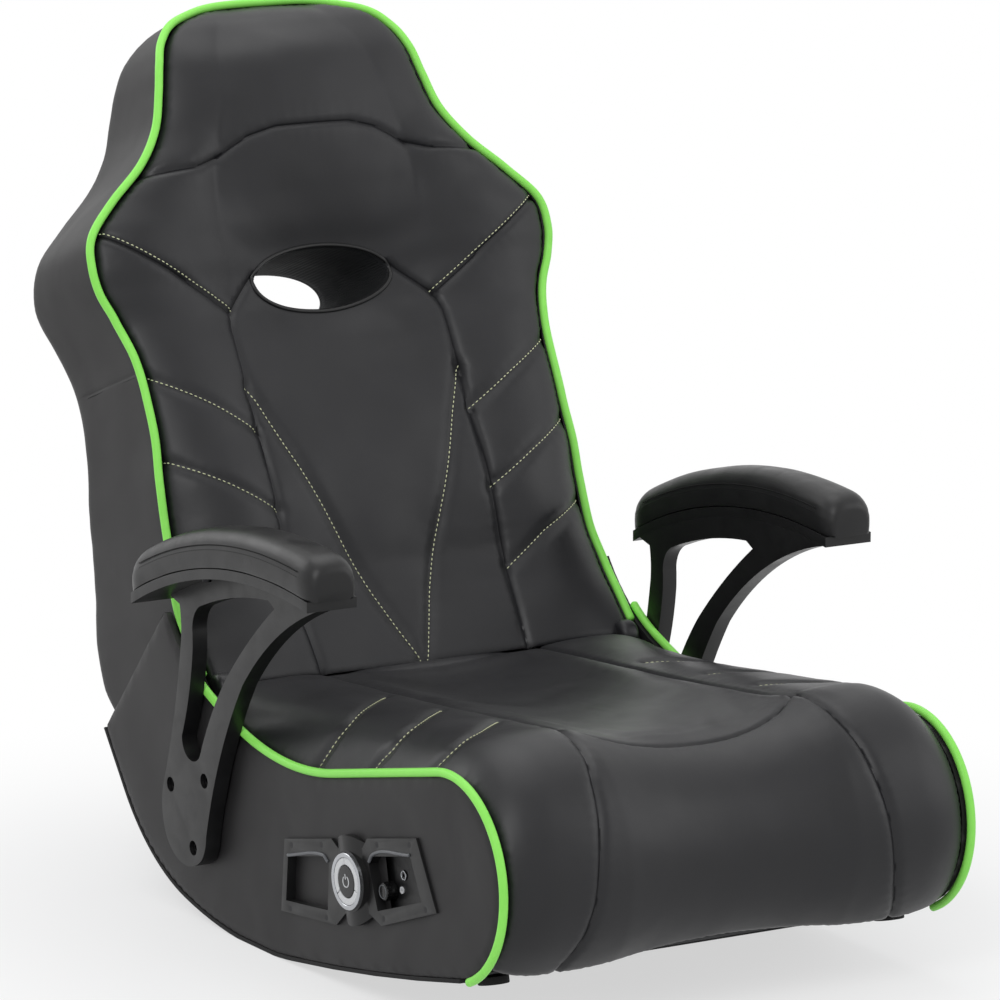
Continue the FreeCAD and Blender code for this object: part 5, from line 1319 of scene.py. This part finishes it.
@dataclass
class Seat:
    """The seat: a sunken centre between two bolsters, the front panel and the piping."""

    shop: Workshop
    thread: Stitcher
    side: SeatSide = field(default_factory=SeatSide)
    seam_x: float = 126.0
    edge_x: float = 252.5
    piping_x: float = 260.0
    piping_radius: float = 4.25
    pad_depth: float = 30.0
    front_seam: tuple[Point3, ...] = (
        (127, -338, 273), (136, -365, 272), (138, -406, 272), (141, -434, 262), (148, -460, 245),
        (153, -482, 220), (158, -493, 197), (162, -498, 170), (166, -498, 140), (172, -490, 110),
        (184, -468, 80), (187, -450, 66))
    cross_seam: tuple[Point3, ...] = ((136, -365, 272), (101, -390, 268), (70, -400, 263), (39, -403, 258),
                                      (0, -402, 253))

    piping_short: float = 62.0
    roll_start: float = 224.0
    roll_radius: float = 15.0
    roll_edge: float = 7.0
    stitch_rows: tuple[tuple[Point2, ...], ...] = (
        ((150, 175), (174, 198), (194, 214), (224, 228), (240, 224), (248, 218)),
        ((152, 286), (182, 314), (206, 332), (234, 336), (246, 324)),
        ((148, 385), (176, 414), (202, 436), (232, 444), (246, 436)))

    def __post_init__(self) -> None:
        """Lays out the plane of the seat: across, and back along the seam's profile."""
        width = self.edge_x + 0.5 - self.seam_x
        self.shape = Smooth([(self.seam_x + width * s, lift, fill) for s, lift, fill in
                             ((0, 25, 1), (0.3, 30, 1), (0.6, 29, 0.9), (0.84, 17, 0.55), (1, -4.5, 0))])
        self.table_x = np.r_[np.linspace(0, self.seam_x, 10),
                             np.linspace(self.seam_x, self.edge_x + 1, 26)[1:]]
        rows = []
        for x in self.table_x:
            if x <= self.seam_x:
                lift = 1.0 + 24 * (x / self.seam_x) ** 2
                rows.append(self.side.profile(lift, 1.0))
            else:
                lift, fill = self.shape.at([x])[0]
                rows.append(self.side.profile(lift, fill))
        self.table = np.array(rows)
        base = self.side.profile(25.0, 1.0)
        self.run = np.r_[0, np.cumsum(np.linalg.norm(np.diff(base, axis=0), axis=1))]

    def surface(self, flat: np.ndarray) -> np.ndarray:
        """Top surface of the seat; the plane's second axis is minus the run from the crease."""
        across, run = np.abs(flat[:, 0]), -flat[:, 1]
        i = np.clip(np.searchsorted(self.table_x, across) - 1, 0, len(self.table_x) - 2)
        s = (across - self.table_x[i]) / (self.table_x[i + 1] - self.table_x[i])
        place = np.interp(run, self.run, np.arange(len(self.run)))
        k = np.clip(place.astype(int), 0, len(self.run) - 2)
        t = place - k

        def row(i: np.ndarray) -> np.ndarray:
            """Point of the table's row at each run."""
            before = self.table[i, np.maximum(k - 1, 0)]
            after = self.table[i, np.minimum(k + 2, len(self.run) - 1)]
            a, b = self.table[i, k], self.table[i, k + 1]
            u = t[:, None]
            return a + 0.5 * u * (b - before + u * (2 * before - 5 * a + 4 * b - after
                                                    + u * (3 * (a - b) + after - before)))

        yz = row(i) * (1 - s)[:, None] + row(i + 1) * s[:, None]
        return np.column_stack([flat[:, 0], yz])

    def plane(self, points: Iterable[Point3]) -> list[Point2]:
        """Places in the plane of points in space."""
        found = []
        for x, y, z in points:
            run = np.linspace(0, self.run[-1], 500)
            line = self.surface(np.column_stack([np.full(500, float(x)), -run]))
            best = int(np.argmin((line[:, 1] - y) ** 2 + (line[:, 2] - z) ** 2))
            found.append((float(x), -float(run[best])))
        return found

    def build(self) -> None:
        """Builds every piece of the seat."""
        front = self.plane(self.front_seam)
        cross = self.plane(self.cross_seam)
        end = -float(self.run[-1])
        front[-1] = (front[-1][0], end)
        inner = [(self.seam_x, 0.0), (self.seam_x, front[0][1] + 60), *front]
        e = self.edge_x
        outline = [(e, end), (e, 0.0), (-e, 0.0), (-e, end)]
        cross_run = [*cross[:-1], *[(-x, y) for x, y in reversed(cross)]]
        lines = [Sewn(inner, Line.SEAM), Sewn([(-x, y) for x, y in inner], Line.SEAM),
                 Sewn(cross_run, Line.SEAM)]
        for row in self.stitch_rows:
            corners = [(x, -away) for x, away in (*row, (e, row[-1][1] - 4))]
            run = [tuple(p) for p in rounded_run(corners, 4.0)]
            lines += [Sewn(run, Line.QUILT, "thread_pale"),
                      Sewn([(-x, y) for x, y in run], Line.QUILT, "thread_pale")]
        cover = Cover(self.surface, outline, lines, [], spacing=4.6, swell=7.0, wave=0.8, edge_drop=2.5)
        cover.build()
        far = 300.0
        bolster = [*inner, (front[-1][0], end - 30), (far, end - 30), (far, 30), (self.seam_x, 30)]
        bow = [(-x, y) for x, y in inner]
        nose = [*cross_run[::-1], *front[2:], (front[-1][0], end - 30), (-front[-1][0], end - 30),
                *[(-x, y) for x, y in reversed(front[2:])]]
        middle = [(self.seam_x, 30), *inner[:4], *cross_run[1:-1], *reversed(bow[:4]), (-self.seam_x, 30)]
        panels = (
            ("seat_centre_cushion", middle, "seat_centre_pad", 0.5),
            ("seat_front_cushion", nose, "seat_centre_pad", 0.6),
            ("seat_bolster_cushion_left", bolster, "seat_bolster_left", 0.65),
            ("seat_bolster_cushion_right", [(-x, y) for x, y in bolster], "seat_bolster_right", 0.65),
        )
        for name, ring, node, fill in panels:
            verts, faces = cover.closed(ring, self.pad_depth)
            piece = self.shop.piece(name, verts, faces, "soft_hide")
            self.shop.sharpen(piece, 60)
            self.shop.deliver(piece, "base", "upholstery", (node,), fill)
        self.thread.sew_lines(cover, "base", "upholstery")
        for side in Side:
            line = self.side.edge_line()
            behind = np.linalg.norm(np.diff(line, axis=0), axis=1)[::-1].cumsum()[::-1]
            line = line[:-1][behind > self.piping_short]
            run = np.column_stack([np.full(len(line), side.value * self.piping_x), line])
            verts, faces = tube(rounded_run(run, 3.0), self.piping_radius, 16)
            piece = self.shop.piece(f"seat_edge_piping_{side.label}", verts, faces, "piping_green")
            Backrest.bake(piece)
            self.shop.deliver(piece, "base", "piping", (f"seat_piping_{side.label}",))
            self.roll(side)

    def roll(self, side: Side) -> None:
        """Padded roll of leather round one hinge pin, which hides the plates in the crease."""
        stop = max(corner.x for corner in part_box("hinge_pins")) / MM + 1.5
        count, edge = 64, self.roll_edge
        half = [(edge * (1 - cosine(a)), self.roll_radius - edge * (1 - sine(a))) for a in range(0, 91, 15)]
        rows = [(self.roll_start, 0.4), *[(self.roll_start + x, size) for x, size in half]]
        rows += [*[(stop - x, size) for x, size in reversed(half)], (stop, 0.4)]
        verts = [(side.value * x, HINGE[0] + size * cosine(a), HINGE[1] + size * sine(a))
                 for x, size in rows for a in np.linspace(0, 360, count, endpoint=False)]
        faces = grid_faces(len(rows), count, True)
        faces += [list(range(count)), [(len(rows) - 1) * count + k for k in range(count)]]
        piece = self.shop.piece(f"hinge_roll_{side.label}", np.array(verts), faces, "soft_hide")
        Backrest.bake(piece)
        self.shop.deliver(piece, "base", "upholstery", ())


@dataclass
class BaseShell:
    """Upholstered sides, underside and the rubber parts of the rocker."""

    shop: Workshop
    thread: Stitcher
    cover_depth: float = 6.5

    def rings(self, node: str, sign: int) -> list[np.ndarray]:
        """Edges of a solid's outer flat face, the longest first, in its own plane.

        Args:
            node: the solid.
            sign: which way the face looks along X.

        Returns:
            Rings of rows of across and up.
        """
        work = bmesh.new()
        work.from_mesh(bpy.data.objects[node].data)
        bmesh.ops.remove_doubles(work, verts=work.verts, dist=2e-5)
        reach = max(v.co.x * sign for v in work.verts)
        flat = {f for f in work.faces if all(v.co.x * sign > reach - 1e-4 for v in f.verts)}
        border = {}
        for face in flat:
            for loop in face.loops:
                if sum(f in flat for f in loop.edge.link_faces) == 1:
                    border[loop.vert.index] = loop.link_loop_next.vert.index
        work.verts.ensure_lookup_table()
        rings = [np.array([(work.verts[i].co.y / MM * sign, work.verts[i].co.z / MM) for i in loop])
                 for loop in Cover.loops(border)]
        work.free()
        rings.sort(key=lambda ring: -np.linalg.norm(np.diff(ring, axis=0), axis=1).sum())
        return rings

    def side_cover(self, side: Side) -> None:
        """One side of the base as a thin stuffed sheet."""
        node = f"side_cover_{side.label}"
        reach = max(abs(corner.x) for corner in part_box(node)) / MM
        outline, *holes = self.rings(node, side.value)

        def surface(flat: np.ndarray) -> np.ndarray:
            """Outer face in space."""
            across = np.full(len(flat), side.value * reach)
            return np.column_stack([across, flat[:, 0] * side.value, flat[:, 1]])

        cover = Cover(surface, outline, [], holes, spacing=6.5, swell=1.6, wave=0.55, edge_drop=2.6,
                      edge_reach=5.0)
        cover.build()
        verts, faces = cover.closed(None, self.cover_depth)
        piece = self.shop.piece(f"base_side_{side.label}", verts, faces, "cover_hide")
        self.shop.sharpen(piece, 55)
        self.shop.deliver(piece, "base", "cover", (node,))

    def build(self) -> None:
        """Builds the covers and dresses the rigid parts."""
        for side in Side:
            self.side_cover(side)
        underside = self.shop.rounded("base_underside", "sole_cover", "cover_hide", 0.5, 2)
        self.shop.deliver(underside, "base", "cover", ("sole_cover",))
        for side in Side:
            strip = self.shop.rounded(f"rocker_rail_{side.label}", f"rocker_strip_{side.label}",
                                      "rubber_black", 0.8, 2)
            self.shop.deliver(strip, "base", "rubber", (f"rocker_strip_{side.label}",))
        feet = self.shop.rounded("front_glides", "front_feet", "rubber_black", 1.2, 3)
        self.shop.deliver(feet, "base", "rubber", ("front_feet",))


@dataclass
class Armrest:
    """Moulded wishbone, tray and stitched pad on one side."""

    shop: Workshop
    thread: Stitcher
    side: Side
    inner: float = 264.5
    width: float = 54.0
    apex: Point2 = (-122.0 - PLAN_CENTRE, 397.0)
    arc_radius: float = 600.0
    front: float = -216.0 - PLAN_CENTRE
    rear: float = 150.0 - PLAN_CENTRE
    wall: float = 22.0
    crown: float = 17.0
    rounding: float = 24.0

    def arc(self, y: float) -> float:
        """Height of the pad's underside at a place."""
        rise = math.sqrt(self.arc_radius ** 2 - (y - self.apex[0]) ** 2)
        return self.apex[1] - self.arc_radius + rise + 0.6

    def loop(self, y: float, narrow: float, drop: float) -> list[Point3]:
        """Section across the pad, from its lower inner edge over the top.

        Args:
            y: its place.
            narrow: how far each side is drawn in.
            drop: how far the top comes down.

        Returns:
            Points round the section.
        """
        base = self.arc(y)
        half = self.width / 2 - narrow
        middle = self.side.value * (self.inner + self.width / 2)
        wall = self.wall - drop * 0.5
        points = [(half - 1.5, 0.0), (half - 0.4, 0.5), (half, 2.0)]
        points += [(half + 0.5 * math.sin(math.pi * k / 7), 2 + (wall - 2) * k / 7) for k in range(1, 8)]
        points[-1] = (half - 0.7, wall)
        rise = self.crown - drop * 0.7
        for k in range(1, 22):
            share = 1 - k / 22
            lift = rise * (1 - share ** 2.6) ** 0.75
            points.append((half * share ** 0.8 - 0.4 * share, wall + max(lift, 0.6)))
        right = points
        section = right + [(0.0, wall + rise)] + [(-x, z) for x, z in reversed(right)]
        return [(middle + x * self.side.value, y, base + z) for x, z in section]

    def pad(self) -> None:
        """Crowned pad with a seam round its shoulder."""
        span = self.rear - self.front
        ends = [0, 0.3, 1, 2, 3.5, 5.5, 8, 11, 15, 19, 24]
        shares = ends + list(np.linspace(30, span - 30, 56)) + [span - s for s in reversed(ends)]
        rows = []
        for s in shares:
            near = min(s, span - s)
            turn = max(1 - near / self.rounding, 0)
            curve = 1 - math.sqrt(1 - turn ** 2.4)
            rows.append(self.loop(self.front + s, 9.5 * curve, 11 * curve))
        columns = len(rows[0])
        flat = np.array(rows).reshape(-1, 3)
        rough = np.array([noise.noise(Vector(p) * 0.03) for p in flat])
        flat[:, 2] += 0.35 * rough
        faces = [[i * columns + k, i * columns + (k + 1) % columns, (i + 1) * columns + (k + 1) % columns,
                  (i + 1) * columns + k] for i in range(len(rows) - 1) for k in range(columns)]
        faces.append(list(range(columns)))
        faces.append([(len(rows) - 1) * columns + k for k in range(columns)])
        piece = self.shop.piece(f"arm_cushion_{self.side.label}", flat, faces, "pad_hide")
        Backrest.bake(piece)
        self.shop.sharpen(piece, 50)
        self.shop.deliver(piece, "base", "upholstery", (f"arm_pad_{self.side.label}",), 0.8)
        for offset in (-1.6, 3.2):
            for edge in (1, -1):
                line = []
                for y in np.linspace(self.front + 26, self.rear - 26, 110):
                    x = self.side.value * (self.inner + self.width / 2) + edge * (self.width / 2 - 0.1)
                    line.append((x, y, self.arc(y) + self.wall - 2.0 + offset))
                normals = np.tile((float(edge), 0.0, 0.0), (110, 1))
                self.thread.add("base", "upholstery", "thread_dark", np.array(line), normals)

    def build(self) -> None:
        """Builds the armrest."""
        label = self.side.label
        frame = self.shop.rounded(f"arm_wishbone_{label}", f"arm_frame_{label}", "moulded_black", 1.8, 4)
        self.shop.deliver(frame, "base", "plastic", (f"arm_frame_{label}",))
        tray = self.shop.rounded(f"arm_shelf_{label}", f"arm_tray_{label}", "moulded_black", 1.4, 3)
        self.shop.deliver(tray, "base", "plastic", (f"arm_tray_{label}",))
        self.pad()


@dataclass
class ControlPanel:
    """Moulded housing with its ring of keys, sockets and knob on the sitter's right."""

    shop: Workshop
    tilt: float = 12.5
    centre: Point2 = (-203.0 - PLAN_CENTRE, 112.0)
    plate_face: float = 265.0
    floor_face: float = 249.0
    bezel_face: float = 274.0
    ring_at: Point2 = (0.0, 2.0)
    knob_at: Point2 = (48.0, -9.0)
    knob_radius: float = 9.0
    sockets: tuple[Point3, ...] = ((-127, 3, 4), (-112, 6, 4), (71, 5, 4))

    def at(self, forward: float, up: float, out: float) -> Point3:
        """Place on the panel: forward and up along it, and out from the chair's middle."""
        return (-out, self.centre[0] - forward * cosine(self.tilt) + up * sine(self.tilt),
                self.centre[1] + forward * sine(self.tilt) + up * cosine(self.tilt))

    def ring(self, place: Point2, radius: float, out: float, wire: float, count: int = 48
             ) -> tuple[np.ndarray, list]:
        """Round wire ring flat on the panel."""
        line = [self.at(place[0] + radius * cosine(a), place[1] + radius * sine(a), out)
                for a in np.linspace(0, 360, count, endpoint=False)]
        return hoop(np.array(line), wire, 8)

    def wire(self, points: Sequence[Point2], out: float, radius: float) -> tuple[np.ndarray, list]:
        """Round bar along places on the panel."""
        return tube(rounded_run([self.at(f, u, out) for f, u in points], 0.8), radius, 10)

    def add(self, name: str, shape: tuple, finish: str, body: str, slot: str,
            nodes: Iterable[str] = ()) -> None:
        """Makes and hands over one small part."""
        piece = self.shop.piece(name, *shape, finish)
        Backrest.bake(piece)
        self.shop.sharpen(piece, 40)
        self.shop.deliver(piece, body, slot, nodes)

    def knob(self) -> tuple[np.ndarray, list]:
        """Fluted thumb knob with a rounded face."""
        count = 96
        turn = np.linspace(0, 360, count, endpoint=False)
        rows = ((246.5, 3.0, 0), (249.3, 3.0, 0), (249.5, 8.4, 0), (250.1, 9.0, 1), (259.6, 9.0, 1),
                (261.0, 8.4, 0.6), (261.5, 7.3, 0), (261.5, 0.4, 0))
        verts = [self.at(self.knob_at[0] + (size - 0.35 * flute * (cosine(a * 16) > 0)) * cosine(a),
                         self.knob_at[1] + (size - 0.35 * flute * (cosine(a * 16) > 0)) * sine(a), out)
                 for out, size, flute in rows for a in turn]
        faces = grid_faces(len(rows), count, True)
        faces += [list(range(count)), [(len(rows) - 1) * count + k for k in range(count)]]
        return np.array(verts), faces

    def build(self) -> None:
        """Builds the panel's parts."""
        shop = self.shop
        plate = shop.rounded("panel_housing", "control_panel", "moulded_black", 0.8, 3)
        shop.deliver(plate, "base", "plastic", ("control_panel",))
        bezel = shop.rounded("ring_frame", "ring_bezel", "bright_metal", 0.9, 3)
        shop.deliver(bezel, "base", "bright_ring", ("ring_bezel",))
        for place in ("rear", "lower", "front"):
            key = shop.rounded(f"ring_key_{place}", f"ring_button_{place}", "white_key", 0.7, 3)
            shop.deliver(key, f"ring_button_{place}", "button", (f"ring_button_{place}",))
        button = shop.rounded("power_key", "power_button", "smooth_black", 1.0, 4)
        shop.deliver(button, "power_button", "button", ("power_button",))
        self.add("volume_dial", self.knob(), "smooth_black", "volume_knob", "button", ("volume_knob",))
        arc = [(self.ring_at[0] + 5.4 * cosine(a), self.ring_at[1] + 5.4 * sine(a))
               for a in np.linspace(125, 415, 40)]
        face = self.bezel_face - 0.45
        self.add("power_sign_arc", self.wire(arc, face, 0.55), "white_key", "power_button", "button")
        bar = [(self.ring_at[0], self.ring_at[1] + 2.2), (self.ring_at[0], self.ring_at[1] + 7.2)]
        self.add("power_sign_bar", self.wire(bar, face, 0.55), "white_key", "power_button", "button")
        for index, (forward, up, radius) in enumerate(self.sockets):
            shape = self.ring((forward, up), radius + 0.2, self.floor_face + 1.0, 0.75)
            self.add(f"socket_ring_{index}", shape, "bright_metal", "base", "jack")
        cap = self.ring(self.knob_at, self.knob_radius - 2.6, self.floor_face + 12.6, 0.5)
        self.add("dial_ring", cap, "grey_cap", "volume_knob", "button")
        for label, line in (("rear", ((-125, 26.2), (-54, 26.2), (-46.5, 20))),
                            ("front", ((113, 26.2), (42, 26.2), (34.5, 20)))):
            ledge = self.wire(line, self.plate_face + 0.2, 1.7)
            self.add(f"recess_ledge_{label}", ledge, "grey_cap", "base", "plastic")
        for index, up in enumerate((-13.4, -10.6)):
            shape = self.wire(((-112.4, up), (-107.6, up)), self.floor_face + 1.1, 0.5)
            self.add(f"port_contact_{index}", shape, "bright_metal", "base", "jack")


PLAIN_PARTS = {
    "dark_steel": ("arm_bolts", "arm_pad_screws", "arm_tee_nuts", "hinge_pins", "hinge_bracket_left",
                   "hinge_bracket_right", "panel_screws", "seat_frame", "back_frame", "back_crossbars",
                   "hinge_arm_left", "hinge_arm_right"),
    "ply_board": ("bass_box", "seat_deck"),
    "lining_mesh": ("rear_deck", "lumbar_board", "front_board", "sole_board", "side_board_left",
                    "side_board_right"),
    "driver_grey": ("bass_driver", "speaker_left", "speaker_right"),
    "moulded_black": ("control_box",),
    "circuit_green": ("amplifier_board",),
    "smooth_black": ("audio_jacks", "data_port"),
    "white_key": ("light_ring",),
    "rubber_black": ("rest_stops",),
}


# Studio

@dataclass
class Studio:
    """Pale floor, soft lights and the camera."""

    azimuth: float = -31.0
    elevation: float = 11.402
    station: Point3 = (-3.1584, -5.3041, 1.6613)
    lens: float = 229.4

    def floor(self) -> None:
        """White ground that keeps the chair's shadow and fades to the background."""
        mesh = bpy.data.meshes.new("studio_floor")
        half = 14.0
        mesh.from_pydata([(-half, -half, -0.0004), (half, -half, -0.0004), (half, half, -0.0004),
                          (-half, half, -0.0004)], [], [(0, 1, 2, 3)])
        ground = bpy.data.objects.new("studio_floor", mesh)
        bpy.context.scene.collection.objects.link(ground)
        material = bpy.data.materials.new("studio_ground")
        material.use_nodes = True
        tree = material.node_tree
        board = NodeBoard(tree)
        matte = tree.nodes["Principled BSDF"]
        matte.inputs["Base Color"].default_value = (0.86, 0.86, 0.86, 1)
        matte.inputs["Roughness"].default_value = 0.9
        matte.inputs["Specular IOR Level"].default_value = 0.0
        glow = board.add("ShaderNodeEmission", None, Strength=1.0)
        place = board.add("ShaderNodeTexCoord").outputs["Object"]
        reach = board.add("ShaderNodeVectorMath", {"operation": "LENGTH"}, i0=place)
        fade = board.add("ShaderNodeMapRange", {"interpolation_type": "SMOOTHSTEP"},
                         Value=reach.outputs["Value"],
                         From_Min=0.3, From_Max=0.95, To_Min=0.62)
        seen = self.seen(board)
        share = board.add("ShaderNodeMath", {"operation": "MULTIPLY"}, i0=fade.outputs["Result"], i1=seen)
        mix = board.add("ShaderNodeMixShader", None, i0=share.outputs[0], i1=matte.outputs["BSDF"],
                        i2=glow.outputs["Emission"])
        tree.links.new(mix.outputs["Shader"], tree.nodes["Material Output"].inputs["Surface"])
        mesh.materials.append(material)

    @staticmethod
    def seen(board: NodeBoard) -> bpy.types.NodeSocket:
        """One for rays from the camera, off gloss and through glass."""
        path = board.add("ShaderNodeLightPath")
        first = board.add("ShaderNodeMath", {"operation": "MAXIMUM"}, i0=path.outputs["Is Camera Ray"],
                          i1=path.outputs["Is Glossy Ray"])
        every = board.add("ShaderNodeMath", {"operation": "MAXIMUM"}, i0=first.outputs[0],
                          i1=path.outputs["Is Transmission Ray"])
        return every.outputs[0]

    def world(self) -> None:
        """White surroundings for the eye, soft grey ones for the light."""
        world = bpy.data.worlds.new("studio_world")
        world.use_nodes = True
        tree = world.node_tree
        board = NodeBoard(tree)
        white = tree.nodes["Background"]
        white.inputs["Color"].default_value = (1, 1, 1, 1)
        soft = board.add("ShaderNodeBackground", None, Strength=0.38)
        soft.inputs["Color"].default_value = (0.94, 0.96, 1.0, 1)
        mix = board.add("ShaderNodeMixShader", None, i0=self.seen(board), i1=soft.outputs["Background"],
                        i2=white.outputs["Background"])
        tree.links.new(mix.outputs["Shader"], tree.nodes["World Output"].inputs["Surface"])
        bpy.context.scene.world = world

    def light(self, name: str, place: Point3, size: float, power: float) -> None:
        """Soft square lamp aimed at the chair."""
        lamp = bpy.data.lights.new(name, "AREA")
        lamp.size = size
        lamp.energy = power
        item = bpy.data.objects.new(name, lamp)
        item.location = place
        item.rotation_euler = (Vector(place) - Vector((0, 0, 0.4))).to_track_quat("Z", "Y").to_euler()
        bpy.context.scene.collection.objects.link(item)

    def camera(self) -> None:
        """Camera at the photograph's angle."""
        back = Vector((sine(self.azimuth) * cosine(self.elevation),
                       -cosine(self.azimuth) * cosine(self.elevation), sine(self.elevation)))
        data = bpy.data.cameras.new("camera")
        data.lens = self.lens
        data.sensor_width = 36.0
        data.clip_end = 60.0
        view = bpy.data.objects.new("camera", data)
        view.location = self.station
        view.rotation_euler = (-back).to_track_quat("-Z", "Y").to_euler()
        bpy.context.scene.collection.objects.link(view)
        bpy.context.scene.camera = view

    def build(self) -> None:
        """Sets the whole stage."""
        bpy.context.scene.view_settings.view_transform = "Standard"
        self.floor()
        self.world()
        self.light("key", (-2.6, -2.4, 3.0), 1.8, 54)
        self.light("fill", (2.8, -2.2, 1.8), 2.4, 24)
        self.light("top", (0.2, 0.6, 3.4), 2.6, 34)
        self.light("rim", (-1.6, 2.8, 2.2), 1.6, 24)
        self.camera()


def main() -> None:
    """Builds the chair round its frame."""
    logging.basicConfig(level=logging.INFO, format="%(message)s", stream=sys.stdout)
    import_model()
    shop = Workshop()
    shop.stock()
    thread = Stitcher(shop)
    Backrest(shop, thread).build()
    Seat(shop, thread).build()
    BaseShell(shop, thread).build()
    for side in Side:
        Armrest(shop, thread, side).build()
    ControlPanel(shop).build()
    thread.finish()
    for finish, nodes in PLAIN_PARTS.items():
        for node in nodes:
            shop.dress(node, finish)
    Studio().build()
    LOG.info("%d pieces", shop.pieces)


if __name__ == "__main__":
    main()
